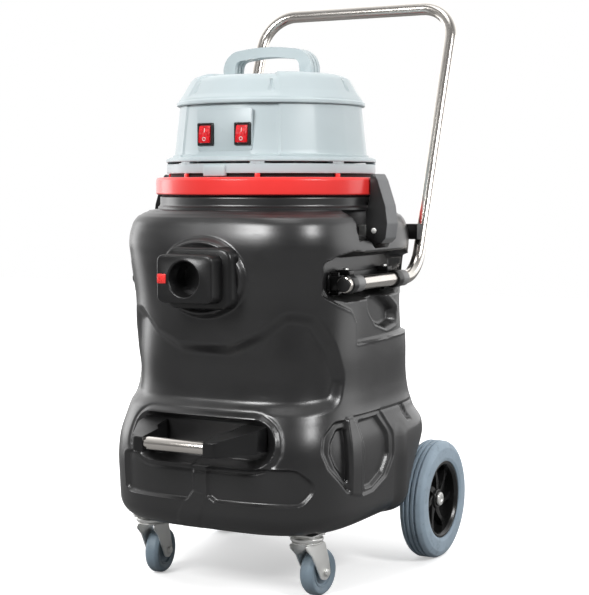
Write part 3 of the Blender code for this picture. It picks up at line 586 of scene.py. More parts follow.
def build_scuffs(tree: bpy.types.NodeTree) -> None:
    """Mask of short hairline rubs.

    Args:
        tree: The empty group.
    """
    sheet, given, result = group_sheet(tree, (("Stretch", "Vector", (1.0, 1.0, 12.0)),
                                              ("Scale", "Float", 60.0), ("Amount", "Float", 0.3)),
                                       ("Mask", "Float"))
    drawn = sheet.add("VectorMath", {0: sheet.place(), 1: given.outputs["Stretch"]}, operation="MULTIPLY")
    lines = sheet.add("TexNoise", {"Vector": drawn.outputs[0], "Scale": given.outputs["Scale"],
                                   "Detail": 6.0, "Roughness": 0.65})
    marks = sheet.band(lines.outputs["Fac"], 0.56, 0.72)
    sheet.feed(result.inputs["Mask"], sheet.math("MULTIPLY", marks, given.outputs["Amount"]))


def build_brushing(tree: bpy.types.NodeTree) -> None:
    """Height of fine parallel lines along one direction.

    Args:
        tree: The empty group.
    """
    sheet, given, result = group_sheet(tree, (("Stretch", "Vector", (1.0, 1.0, 60.0)),
                                              ("Scale", "Float", 400.0)), ("Height", "Float"))
    drawn = sheet.add("VectorMath", {0: sheet.place(), 1: given.outputs["Stretch"]}, operation="MULTIPLY")
    lines = sheet.add("TexNoise", {"Vector": drawn.outputs[0], "Scale": given.outputs["Scale"],
                                   "Detail": 3.0})
    sheet.feed(result.inputs["Height"], lines.outputs["Fac"])


# ---------------- finishes
def start_material(name: str) -> tuple[bpy.types.Material, Sheet, bpy.types.Node]:
    """Make an empty material with its Principled shader.

    Args:
        name: Its name.

    Returns:
        The material, its sheet and its shader.
    """
    made = bpy.data.materials.new(name)
    made.use_nodes = True
    return made, Sheet(made.node_tree), made.node_tree.nodes["Principled BSDF"]


def raise_bump(sheet: Sheet, shader: bpy.types.Node, height: Socket, depth: float) -> None:
    """Feed a height of some depth to the shader's normal."""
    bump = sheet.add("Bump", {"Height": height, "Distance": depth, "Strength": 1.0})
    sheet.feed(shader.inputs["Normal"], bump.outputs[0])


def full(colour: Colour) -> tuple[float, float, float, float]:
    """A colour with full opacity."""
    return (*colour, 1.0)


@dataclass(frozen=True)
class MouldedPlastic:
    """Injection or rotation moulded plastic with grain, tone drift, rubbed edges and dust."""

    name: str
    tone: Colour
    deep_tone: Colour
    roughness: float = 0.42
    grain_scale: float = 900.0
    grain_depth: float = 0.00004
    rubbed: Colour = (0.12, 0.12, 0.12)
    wear: float = 0.4
    wear_radius: float = 0.0012
    dust: float = 0.06
    gloss_coat: float = 0.0
    scuff: float = 0.12
    specular: float = 0.5

    def material(self) -> bpy.types.Material:
        """Build the material.

        Returns:
            The material.
        """
        made, sheet, shader = start_material(self.name)
        colour = Effect.DRIFT.use(sheet, Tone=full(self.tone), Deep_Tone=full(self.deep_tone),
                                  Scale=9.0, Fleck=0.15)
        if self.wear:
            rub = Effect.WEAR.use(sheet, Radius=self.wear_radius, Amount=self.wear)
            colour = sheet.mix(rub, colour, full(self.rubbed))
        dust = Effect.DUST.use(sheet, Amount=self.dust, Scale=28.0)
        sheet.feed(shader.inputs["Base Color"], sheet.mix(dust, colour, (0.55, 0.53, 0.50, 1.0)))
        marks = Effect.SCUFFS.use(sheet, Scale=45.0, Amount=self.scuff)
        cloudy = sheet.band(sheet.noise(14.0, 3.0, sheet.place()), 0.3, 0.7, -0.03, 0.03)
        rough = sheet.math("ADD", sheet.math("ADD", marks, cloudy), self.roughness)
        sheet.feed(shader.inputs["Roughness"], sheet.math("ADD", rough, dust, clamp=True))
        raise_bump(sheet, shader, Effect.GRAIN.use(sheet, Scale=self.grain_scale), self.grain_depth)
        shader.inputs["Coat Weight"].default_value = self.gloss_coat
        shader.inputs["Coat Roughness"].default_value = 0.12
        shader.inputs["Specular IOR Level"].default_value = self.specular
        return made


@dataclass(frozen=True)
class BareMetal:
    """Polished, brushed or plated metal."""

    name: str
    tone: Colour
    deep_tone: Colour
    roughness: float
    stretch: Spot = (1.0, 1.0, 1.0)
    line_depth: float = 0.000004
    spangle: float = 0.0
    scuff: float = 0.06

    def material(self) -> bpy.types.Material:
        """Build the material.

        Returns:
            The material.
        """
        made, sheet, shader = start_material(self.name)
        shader.inputs["Metallic"].default_value = 1.0
        colour = Effect.DRIFT.use(sheet, Tone=full(self.tone), Deep_Tone=full(self.deep_tone),
                                  Scale=14.0, Fleck=0.05)
        sheet.feed(shader.inputs["Base Color"], colour)
        marks = Effect.SCUFFS.use(sheet, Stretch=self.stretch, Scale=90.0, Amount=self.scuff)
        rough = sheet.math("ADD", marks, self.roughness)
        if self.spangle:
            cells = sheet.add("TexVoronoi", {"Vector": sheet.place(), "Scale": 260.0})
            tone = sheet.add("SeparateColor", {0: cells.outputs["Color"]})
            rough = sheet.math("MULTIPLY_ADD", tone.outputs[0], self.spangle, rough)
        sheet.feed(shader.inputs["Roughness"], sheet.math("ADD", rough, 0.0, clamp=True))
        lines = Effect.BRUSHING.use(sheet, Stretch=self.stretch, Scale=300.0)
        raise_bump(sheet, shader, lines, self.line_depth)
        return made


@dataclass(frozen=True)
class SolidRubber:
    """Matt rubber with a chalky bloom and dirt in the tread."""

    name: str
    tone: Colour
    deep_tone: Colour
    roughness: float = 0.62
    dirt: float = 0.25

    def material(self) -> bpy.types.Material:
        """Build the material.

        Returns:
            The material.
        """
        made, sheet, shader = start_material(self.name)
        colour = Effect.DRIFT.use(sheet, Tone=full(self.tone), Deep_Tone=full(self.deep_tone),
                                  Scale=22.0, Fleck=0.25)
        soil = sheet.band(sheet.noise(70.0, 6.0, sheet.place(), 0.7), 0.52, 0.70, 0.0, self.dirt)
        sheet.feed(shader.inputs["Base Color"], sheet.mix(soil, colour, (0.10, 0.10, 0.10, 1.0)))
        sheet.feed(shader.inputs["Roughness"], sheet.math("ADD", soil, self.roughness, clamp=True))
        raise_bump(sheet, shader, Effect.GRAIN.use(sheet, Scale=700.0), 0.00006)
        shader.inputs["Sheen Weight"].default_value = 0.15
        return made


@dataclass(frozen=True)
class MattedFibre:
    """Needled felt or open foam: a rough, tangled surface."""

    name: str
    tone: Colour
    deep_tone: Colour
    scale: float
    depth: float

    def material(self) -> bpy.types.Material:
        """Build the material.

        Returns:
            The material.
        """
        made, sheet, shader = start_material(self.name)
        place = sheet.place()
        tangle = sheet.noise(self.scale, 6.0, place, 0.75)
        colour = Effect.DRIFT.use(sheet, Tone=full(self.tone), Deep_Tone=full(self.deep_tone),
                                  Scale=30.0, Fleck=0.4)
        shade = sheet.band(tangle, 0.3, 0.7)
        sheet.feed(shader.inputs["Base Color"], sheet.mix(shade, full(self.deep_tone), colour))
        sheet.feed(shader.inputs["Roughness"], sheet.band(tangle, 0.2, 0.8, 0.85, 1.0))
        raise_bump(sheet, shader, tangle, self.depth)
        shader.inputs["Sheen Weight"].default_value = 0.3
        return made


@dataclass(frozen=True)
class LitRocker:
    """Clear red plastic of a lamp switch, with a faceted lens behind its face."""

    name: str
    tone: Colour
    deep_tone: Colour

    def material(self) -> bpy.types.Material:
        """Build the material.

        Returns:
            The material.
        """
        made, sheet, shader = start_material(self.name)
        facets = sheet.add("TexVoronoi", {"Vector": sheet.place(), "Scale": 320.0})
        lens = sheet.add("SeparateColor", {0: facets.outputs["Color"]})
        colour = sheet.mix(lens.outputs[0], full(self.tone), full(self.deep_tone))
        sheet.feed(shader.inputs["Base Color"], colour)
        sheet.feed(shader.inputs["Emission Color"], colour)
        shader.inputs["Emission Strength"].default_value = 0.25
        sheet.feed(shader.inputs["Roughness"], sheet.band(lens.outputs[1], 0.0, 1.0, 0.18, 0.30))
        shader.inputs["Coat Weight"].default_value = 0.6
        return made


class Finish(Enum):
    """Every finish on the machine, with the record's slot it belongs to."""

    TANK = (MouldedPlastic("tank_moulded_black", (0.0095, 0.0093, 0.0097), (0.0120, 0.0118, 0.0124), 0.32,
                           780.0, 0.00004, (0.03, 0.03, 0.031), 0.30, 0.002, 0.015, specular=0.85),
            "tank_black")
    TRIM = (MouldedPlastic("trim_black_nylon", (0.0045, 0.0045, 0.0048), (0.0070, 0.0070, 0.0074), 0.34,
                           1100.0, 0.00003, (0.04, 0.04, 0.04), 0.35, 0.0008, 0.015), "trim_black")
    LATCH = (MouldedPlastic("latch_dark_grey", (0.105, 0.108, 0.112), (0.125, 0.128, 0.132), 0.38,
                            1000.0, 0.00003, (0.20, 0.20, 0.20), 0.5, 0.0008, 0.05), "trim_grey")
    SLEEVE = (MouldedPlastic("sleeve_grey", (0.16, 0.16, 0.16), (0.20, 0.20, 0.20), 0.38,
                             1000.0, 0.00003, (0.3, 0.3, 0.3), 0.3, 0.0008, 0.05), "trim_grey")
    CAN = (MouldedPlastic("motor_can_grey", (0.05, 0.052, 0.055), (0.07, 0.072, 0.075), 0.5,
                          900.0, 0.00003, (0.2, 0.2, 0.2), 0.3, 0.0008, 0.1), "trim_grey")
    HUB = (MouldedPlastic("hub_black", (0.014, 0.014, 0.015), (0.022, 0.022, 0.023), 0.22,
                          900.0, 0.00003, (0.06, 0.06, 0.06), 0.4, 0.0010, 0.03), "hub_black")
    HEAD = (MouldedPlastic("head_pale_grey", (0.450, 0.515, 0.535), (0.425, 0.490, 0.508), 0.36,
                           1200.0, 0.000025, (0.66, 0.72, 0.73), 0.35, 0.0012, 0.04), "head_grey")
    RED = (MouldedPlastic("ring_signal_red", (0.860, 0.044, 0.040), (0.800, 0.036, 0.032), 0.30,
                          900.0, 0.00002, (0.85, 0.12, 0.10), 0.3, 0.0010, 0.02, 0.3), "signal_red")
    ROCKER = (LitRocker("rocker_clear_red", (0.62, 0.006, 0.012), (0.40, 0.002, 0.006)), "rocker_red")
    MARK = (MouldedPlastic("switch_mark_white", (0.70, 0.66, 0.66), (0.62, 0.58, 0.58), 0.4,
                           900.0, 0.00002, (0.7, 0.7, 0.7), 0.0, 0.0008, 0.0), "rocker_red")
    TUBE = (BareMetal("tube_polished", (0.78, 0.745, 0.70), (0.73, 0.69, 0.645), 0.22,
                      (1.0, 1.0, 1.0), 0.0000004, scuff=0.03), "polished_tube")
    ZINC = (BareMetal("plate_zinc", (0.90, 0.90, 0.88), (0.82, 0.82, 0.80), 0.42,
                      (1.0, 1.0, 1.0), 0.0000008, 0.05), "zinc")
    ALLOY = (BareMetal("fan_aluminium", (0.72, 0.72, 0.73), (0.62, 0.62, 0.63), 0.30,
                       (1.0, 1.0, 6.0), 0.000006), "aluminium")
    TYRE = (SolidRubber("tyre_blue_grey", (0.330, 0.420, 0.500), (0.290, 0.372, 0.448)), "tyre_grey")
    # The tyre rubber again, made darker: painted shade for the castors standing in the shadow under the
    # tank's front.
    CASTOR = (SolidRubber("castor_blue_grey_painted_shade", (0.215, 0.280, 0.335), (0.180, 0.238, 0.288),
                          0.5, 0.2), "tyre_grey")
    RUBBER = (SolidRubber("seal_rubber", (0.0055, 0.0055, 0.0055), (0.009, 0.009, 0.009),
                          0.75, 0.10), "rubber")
    FOAM = (MattedFibre("open_foam", (0.10, 0.10, 0.11), (0.02, 0.02, 0.022), 520.0, 0.0012), "foam")
    FELT = (MattedFibre("needled_felt", (0.66, 0.65, 0.61), (0.46, 0.45, 0.42), 900.0, 0.0005), "cloth_white")
    FLOAT = (MouldedPlastic("float_white", (0.72, 0.71, 0.68), (0.66, 0.65, 0.61), 0.45,
                            900.0, 0.00003, (0.8, 0.8, 0.8), 0.2, 0.001, 0.1), "float_white")

    def dress(self, piece: bpy.types.Object) -> None:
        """Put this finish on a piece in place of whatever it has.

        Args:
            piece: The piece.
        """
        kind, slot = self.value
        material = bpy.data.materials.get(kind.name) or kind.material()
        piece.data.materials.clear()
        piece.data.materials.append(material)


@dataclass
class Assembly:
    """A group of pieces that ride on one body of the frame."""

    body: str

    def piece(self, name: str, shape: Shape, finish: Finish, nodes: Sequence[str] = (),
              at: Spot = AXIS, body: str | None = None, crease: float = 32.0) -> bpy.types.Object:
        """Turn a shape into a finished piece on its body.

        Args:
            name: The piece's name.
            shape: Its skin, in its own frame.
            finish: Its finish.
            nodes: Frame nodes that it stands for.
            at: Where its own frame stands.
            body: The body that it rides on, if not the assembly's.
            crease: Angle in degrees above which an edge stays sharp.

        Returns:
            The piece.
        """
        bmesh.ops.recalc_face_normals(shape, faces=shape.faces)
        mesh = bpy.data.meshes.new(name)
        shape.to_mesh(mesh)
        shape.free()
        mesh.shade_smooth()
        mesh.set_sharp_from_angle(angle=math.radians(crease))
        made = bpy.data.objects.new(name, mesh)
        made.location = at
        bpy.context.scene.collection.objects.link(made)
        finish.dress(made)
        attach(made, body or self.body)
        if nodes:
            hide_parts(*nodes)
        LOG.info("%s: %d faces on %s", name, len(mesh.polygons), body or self.body)
        return made

    def keep(self, node: str, finish: Finish) -> None:
        """Show a frame node as it is, in a new finish."""
        finish.dress(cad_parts[node])
        LOG.info("%s kept", node)


# ---------------- tank
WALL_RADIUS = 0.213        # turns a bearing into a length along the tank's wall


def wall_distance(outline: Sequence[Spot], across: np.ndarray, height: np.ndarray) -> np.ndarray:
    """Distance along the wall to an outline, positive inside it.

    Args:
        outline: Bearing in degrees, height and corner radius of each corner.
        across: Bearings asked for, in radians.
        height: Heights asked for.

    Returns:
        The signed distances.
    """
    corners = [(math.radians(bearing) * WALL_RADIUS, z, radius) for bearing, z, radius in outline]
    return inside_distance(across * WALL_RADIUS, height, rounded(corners))


@dataclass(frozen=True)
class Relief:
    """An area moulded above or below the tank's wall.

    The outline's points are the bearing from the front in degrees, the height and the corner's
    radius, and both sides of the tank have it unless it is single.
    """

    outline: tuple[Spot, ...]
    depth: float
    edge: float
    bead: float = 0.0
    bead_width: float = 0.003
    single: bool = False

    def rise(self, bearing: np.ndarray, height: np.ndarray) -> np.ndarray:
        """How far this area moves the wall outward.

        Args:
            bearing: Bearings from the front, in radians.
            height: Heights.

        Returns:
            The change of radius at each place.
        """
        across = bearing if self.single else np.abs(bearing)
        distance = wall_distance(self.outline, across, height)
        share = smooth_step(0.5 + distance / self.edge)
        return self.depth * share + self.bead * np.exp(-(distance / self.bead_width) ** 2)


@dataclass
class Tank(Assembly):
    """The one-piece moulded tank with its waist, side hollows and pockets."""

    body: str = "trolley"
    bottom: float = 0.106
    rim: float = 0.627
    mouth: float = 0.167
    wall: float = 0.0055
    floor: float = 0.118
    collar_base: float = 0.6065
    collar: float = 0.184
    columns: int = 640
    row_height: float = 0.00175
    bottom_fillet: float = 0.034
    # height, half width, front depth, rear depth and squareness of the outline
    stations: tuple[tuple[float, ...], ...] = (
        (0.106, 0.210, 0.228, 0.232, 3.6), (0.170, 0.212, 0.232, 0.236, 3.6),
        (0.215, 0.213, 0.233, 0.238, 3.6), (0.245, 0.211, 0.2295, 0.237, 3.55),
        (0.280, 0.204, 0.219, 0.230, 3.4), (0.298, 0.2012, 0.2120, 0.224, 3.3),
        (0.315, 0.200, 0.209, 0.222, 3.2), (0.380, 0.2005, 0.2095, 0.220, 3.05),
        (0.460, 0.2012, 0.212, 0.221, 2.80), (0.532, 0.2030, 0.2165, 0.220, 3.10),
        (0.556, 0.2018, 0.2148, 0.2184, 3.35), (0.576, 0.1984, 0.2105, 0.2145, 3.40),
        (0.590, 0.1944, 0.2055, 0.2095, 3.30), (0.599, 0.1898, 0.1990, 0.2025, 3.0),
        (0.6035, 0.1865, 0.1925, 0.1940, 2.6))
    boss_half: Flat = (0.080, 0.065)
    boss_height: float = 0.0125
    boss_z: float = 0.503
    arch_x: float = 0.178
    arch_radius: float = 0.134
    wheel: Flat = (0.205, 0.1015)
    hollow_x: float = 0.1575
    latch_x: float = 0.166
    front_hollow: float = 0.205
    reliefs: tuple[Relief, ...] = (
        # waist across the front
        Relief(((-20, 0.390, 0), (13, 0.392, 0.03), (26, 0.414, 0.03), (36, 0.444, 0.02),
                (46, 0.438, 0.02), (54, 0.396, 0.04), (59, 0.345, 0.03), (56, 0.308, 0.022),
                (43, 0.302, 0.03), (-20, 0.302, 0)), -0.0112, 0.023),
        # seam under the belt behind it
        Relief(((60, 0.2845, 0), (126, 0.2845, 0), (126, 0.2815, 0), (60, 0.2815, 0)), -0.0016, 0.0025),
        # panel below the side grip
        Relief(((50, 0.475, 0.01), (58, 0.461, 0.006), (67, 0.448, 0.010), (69.5, 0.432, 0.006),
                (69.5, 0.397, 0.002), (142, 0.402, 0.004), (142, 0.530, 0.02), (50, 0.530, 0.01)),
               -0.0078, 0.0040, 0.0018, 0.0022),
        # leaf-shaped pocket in that panel
        Relief(((82, 0.476, 0.006), (99, 0.468, 0.02), (117, 0.440, 0.010), (116, 0.419, 0.008),
                (103, 0.413, 0.02), (90, 0.424, 0.02), (82, 0.450, 0.02)), -0.017, 0.012, 0.0036, 0.0040),
        # lower panels beside the centre rib
        Relief(((-35, 0.222, 0.01), (-2, 0.222, 0.004), (-2, 0.172, 0.004), (-5, 0.157, 0.004),
                (-35, 0.157, 0.012)), -0.0060, 0.005, 0.0012, 0.0025, True),
        Relief(((4.5, 0.214, 0.006), (38, 0.214, 0.02), (46, 0.186, 0.022), (40, 0.158, 0.018),
                (7.5, 0.158, 0.006), (4.5, 0.166, 0.004)), -0.0065, 0.005, 0.0014, 0.0025, True),
        # foot that turns down from the centre rib
        Relief(((-2, 0.172, 0.003), (4.5, 0.166, 0.003), (-3, 0.100, 0), (-13, 0.100, 0),
                (-7, 0.150, 0.01)), 0.0012, 0.006, single=True),
        # rounded recess ahead of the wheel, in two steps
        Relief(((60.5, 0.281, 0.004), (54, 0.280, 0.012), (48.5, 0.262, 0.02), (47.3, 0.238, 0.02),
                (50, 0.212, 0.02), (60.5, 0.166, 0.003)), -0.0060, 0.0050, 0.0006, 0.0022),
        Relief(((60, 0.268, 0.003), (55.5, 0.268, 0.008), (51.8, 0.250, 0.015), (51.3, 0.232, 0.015),
                (53.5, 0.212, 0.01), (60, 0.180, 0.003)), -0.0060, 0.0045),
        # rib and pocket between it and the wheel, in two steps
        Relief(((61.5, 0.283, 0), (65.5, 0.283, 0), (68.5, 0.250, 0.02), (68.5, 0.160, 0),
                (61.5, 0.166, 0)), 0.0022, 0.0035, 0.0006, 0.002),
        Relief(((65, 0.284, 0.003), (89, 0.285, 0.004), (98.5, 0.243, 0.02), (98.0, 0.206, 0.02),
                (91, 0.176, 0.02), (78, 0.160, 0.015), (69, 0.159, 0.004), (69.5, 0.233, 0.03)),
               -0.0030, 0.004, 0.0006),
        Relief(((69, 0.275, 0.003), (86, 0.276, 0.006), (94.5, 0.243, 0.02), (94.0, 0.209, 0.02),
                (88, 0.182, 0.02), (78, 0.168, 0.012), (71.5, 0.168, 0.006), (72.5, 0.233, 0.03)),
               -0.0060, 0.0045, 0.0008, 0.0022),
        # slot at the back of the belt and the fender over the wheel
        Relief(((109.5, 0.283, 0.002), (114, 0.283, 0.002), (116.5, 0.256, 0.002), (112, 0.256, 0.002)),
               -0.0050, 0.003),
        Relief(((103, 0.255, 0.02), (150, 0.262, 0), (150, 0.095, 0), (103, 0.095, 0)), 0.0085, 0.030),
        # shallow panels round the back
        Relief(((158, 0.565, 0.02), (202, 0.565, 0.02), (202, 0.330, 0.02), (158, 0.330, 0.02)),
               -0.0060, 0.010),
        Relief(((150, 0.250, 0.015), (210, 0.250, 0.015), (210, 0.160, 0.015), (150, 0.160, 0.015)),
               -0.0050, 0.008),
        # groove under the collar
        Relief(((-200, 0.5995, 0), (200, 0.5995, 0), (200, 0.5965, 0), (-200, 0.5965, 0)),
               -0.0016, 0.002, single=True),
    )
    grip_hollow: tuple[Spot, ...] = (
        (51, 0.486, 0.01), (50.5, 0.526, 0.010), (56, 0.537, 0.012), (66, 0.5435, 0.006), (76, 0.541, 0.004),
        (104, 0.541, 0.004), (124, 0.541, 0.012), (129.5, 0.528, 0.012), (129.5, 0.478, 0.016),
        (118, 0.466, 0.02), (80, 0.464, 0.02), (64, 0.462, 0.012), (54, 0.470, 0.012))
    latch_hollow: tuple[Spot, ...] = (
        (63.5, 0.640, 0.0), (63.5, 0.605, 0.008), (69.0, 0.594, 0.012), (70.0, 0.5575, 0.008),
        (80.0, 0.5570, 0.010), (84.0, 0.5455, 0.004), (97.0, 0.5455, 0.004), (100.0, 0.5570, 0.010),
        (103.0, 0.5575, 0.006), (104, 0.640, 0.0))
    tip_hollow: tuple[Spot, ...] = ((-31, 0.213, 0.032), (31, 0.213, 0.036), (31, 0.289, 0.030),
                                    (-31, 0.289, 0.022))

    def outline_sizes(self, height: np.ndarray) -> list[np.ndarray]:
        """The outline's half width, front depth, rear depth and squareness at each height.

        Args:
            height: The heights.

        Returns:
            Those four sizes, each with the heights' shape.
        """
        table = np.array(self.stations)
        slope = np.gradient(table, table[:, 0], axis=0)
        index = np.clip(np.searchsorted(table[:, 0], height) - 1, 0, len(table) - 2)
        low, high = table[index], table[index + 1]
        span = high[..., 0] - low[..., 0]
        t = np.clip((height - low[..., 0]) / span, 0.0, 1.0)
        from_low, from_high = (1.0 + 2.0 * t) * (1.0 - t) ** 2, t * t * (3.0 - 2.0 * t)
        lean_low, lean_high = t * (1.0 - t) ** 2 * span, t * t * (t - 1.0) * span
        return [from_low * low[..., k] + from_high * high[..., k] + lean_low * slope[index][..., k]
                + lean_high * slope[index + 1][..., k] for k in range(1, 5)]

    def radius(self, bearing: np.ndarray, height: np.ndarray) -> np.ndarray:
        """Distance from the axis to the outer skin.

        Args:
            bearing: Bearings from the front, in radians, positive to +X.
            height: Heights.

        Returns:
            The radii.
        """
        across, ahead = np.sin(bearing), np.cos(bearing)
        half_width, front, rear, power = self.outline_sizes(height)
        depth = np.where(ahead > 0.0, front, rear)
        radius = (np.abs(across / half_width) ** power + np.abs(ahead / depth) ** power) ** (-1.0 / power)
        drop = np.clip(self.bottom_fillet - (height - self.bottom), 0.0, self.bottom_fillet)
        radius -= self.bottom_fillet - np.sqrt(self.bottom_fillet ** 2 - drop ** 2 + 1e-12)
        for relief in self.reliefs:
            radius += relief.rise(bearing, height)
        side_x, y = np.maximum(np.abs(across), 0.05), -radius * ahead
        x = radius * across
        # oval boss with a raised rim round the hose inlet
        oval = np.hypot(x / self.boss_half[0], (height - self.boss_z) / self.boss_half[1])
        facing = ahead > 0.0
        rim = smooth_step((1.0 - oval) / 0.15) - 0.30 * smooth_step((0.84 - oval) / 0.10)
        radius += np.where(facing, self.boss_height * rim, 0.0)
        # hollows with a flat floor
        grip = smooth_step(wall_distance(self.grip_hollow, np.abs(bearing), height) / 0.010)
        latch = smooth_step(wall_distance(self.latch_hollow, np.abs(bearing), height) / 0.005)
        arch = smooth_step((self.arch_radius - np.hypot(y - self.wheel[0], height - self.wheel[1])) / 0.012)
        for share, limit in ((grip, self.hollow_x), (latch, self.latch_x), (arch, self.arch_x)):
            floor = np.minimum(limit / side_x, radius)
            radius = radius + (floor - radius) * share
        tip = wall_distance(self.tip_hollow, bearing, height)
        floor = np.minimum(self.front_hollow / np.maximum(ahead, 0.3), radius)
        radius = radius + np.where(facing, (floor - radius) * smooth_step(tip / 0.011), 0.0)
        radius += np.where(facing, 0.0030 * np.exp(-(tip / 0.0028) ** 2)
                           - 0.0018 * np.exp(-((tip + 0.0075) / 0.0025) ** 2), 0.0)
        # square step below the collar
        neck = smooth_step((height - self.collar_base + 0.002) / 0.002)
        bead = 0.0034 * (1.0 - smooth_step((height - self.collar_base - 0.0035) / 0.003))
        return radius + (self.collar + bead - radius) * neck

    def build(self) -> None:
        """Skin the tank outside and inside, with its floor and rim."""
        bearings = np.linspace(0.0, 2.0 * math.pi, self.columns, endpoint=False)
        centred = (bearings + math.pi) % (2.0 * math.pi) - math.pi
        fillet = [self.bottom + self.bottom_fillet * (1.0 - math.cos(math.radians(a)))
                  for a in range(0, 60, 6)]
        rows = np.concatenate((fillet, np.arange(fillet[-1] + self.row_height, self.rim - 0.0015,
                                                 self.row_height)))
        grid_bearing, grid_height = np.meshgrid(centred, rows)
        radii = self.radius(grid_bearing, grid_height)
        inner_rows = np.linspace(self.rim - 0.004, self.floor, 60)
        inner_bearing, inner_height = np.meshgrid(centred, inner_rows)
        inner = np.minimum(self.radius(inner_bearing, inner_height) - self.wall, 0.30)
        inner = np.where(inner_height > self.collar_base - 0.006, self.mouth, inner)
        even = np.ones(self.columns)
        base, lip = self.bottom, 0.0012
        stack = [(even * 0.02, base + 0.004), (even * 0.10, base + 0.004), (even * 0.112, base + 0.0005),
                 (radii[0] - 0.004, base), *zip(radii, rows),
                 (even * self.collar, self.rim - lip), (even * (self.collar - lip), self.rim),
                 (even * (self.mouth + lip), self.rim), (even * self.mouth, self.rim - lip),
                 *zip(inner, inner_rows), (even * 0.08, self.floor)]
        loops = [[(r * s, -r * c, z) for r, s, c in zip(ring, np.sin(bearings), np.cos(bearings))]
                 for ring, z in stack]
        self.piece("tank_moulding", loft(loops), Finish.TANK, ["tank"], crease=50.0)
        self.keep("tank_seal", Finish.RUBBER)
        self.keep("rear_axle", Finish.ZINC)


# ---------------- hose inlet
@dataclass
class Inlet(Assembly):
    """Base plate, socket block with a lipped bore and the red release button."""

    body: str = "trolley"
    height: float = 0.503
    base_half: Flat = (0.060, 0.047)
    base_shift: float = 0.006
    block_half: Flat = (0.050, 0.037)
    bore: float = 0.027
    face: float = -0.268
    base_front: float = -0.240
    base_back: float = -0.2235
    samples: int = 120
    button: Spot = (-0.0399, -0.268, 0.503)

    def loop(self, half: Flat, radius: float, inset: float, y: float, shift: float = 0.0) -> list[Spot]:
        """One rounded rectangular ring about the socket, pulled in by an inset.

        Args:
            half: Half its width and height.
            radius: Radius of its corners.
            inset: How far it is pulled in.
            y: Its station.
            shift: How far it stands aside.

        Returns:
            The ring's points.
        """
        outline = rounded(rectangle(half[0] - inset, half[1] - inset, radius - inset * 0.5,
                                    (shift, 0.0)), steps=8)
        return [(x, y, z + self.height) for x, z in by_bearing(outline, self.samples)]

    def hole(self, radius: float, y: float) -> list[Spot]:
        """One round ring about the socket."""
        return [(x, y, z + self.height) for x, z in circle(radius, self.samples)]

    def build(self) -> None:
        """Build the base, the block and the button."""
        shift, base, blk = self.base_shift, self.base_half, self.block_half
        rings = [self.loop(base, 0.018, -0.002, self.base_back + 0.004, shift),
                 self.loop(base, 0.018, 0.0, self.base_front + 0.005, shift),
                 self.loop(base, 0.018, 0.0015, self.base_front + 0.0015, shift),
                 self.loop(base, 0.018, 0.005, self.base_front, shift),
                 self.hole(self.bore + 0.003, self.base_front), self.hole(self.bore + 0.003, self.base_back)]
        self.piece("inlet_flange", loft(rings, False, False), Finish.TRIM, ["inlet_base"], crease=60)
        front = self.face
        rings = [self.loop(blk, 0.012, -0.0012, self.base_front - 0.0002),
                 self.loop(blk, 0.010, 0.0, front + 0.005), self.loop(blk, 0.010, 0.0006, front + 0.002),
                 self.loop(blk, 0.010, 0.0018, front + 0.0005), self.loop(blk, 0.010, 0.0036, front),
                 self.hole(self.bore + 0.0045, front), self.hole(self.bore + 0.0035, front - 0.0012),
                 self.hole(self.bore + 0.0015, front - 0.0012), self.hole(self.bore, front + 0.001),
                 self.hole(self.bore, front + 0.018), self.hole(self.bore - 0.0015, front + 0.019),
                 self.hole(self.bore - 0.0015, self.base_front - 0.0002)]
        self.piece("inlet_socket", loft(rings, False, False), Finish.TRIM, ["inlet_block"], crease=60)
        button = merge(block((-0.0080, -0.0020, -0.0075), (0.0080, 0.0080, 0.0075), 0.0018),
                       block((-0.0045, -0.0030, -0.0048), (-0.0025, -0.0012, 0.0048), 0.0006),
                       block((0.0000, -0.0030, -0.0048), (0.0020, -0.0012, 0.0048), 0.0006))
        spot = (self.button[0], self.button[1] + AXIS[1], self.button[2])
        self.piece("release_tab", button, Finish.RED, ["release_button"], spot, "button")
        self.keep("inlet_tube", Finish.TRIM)


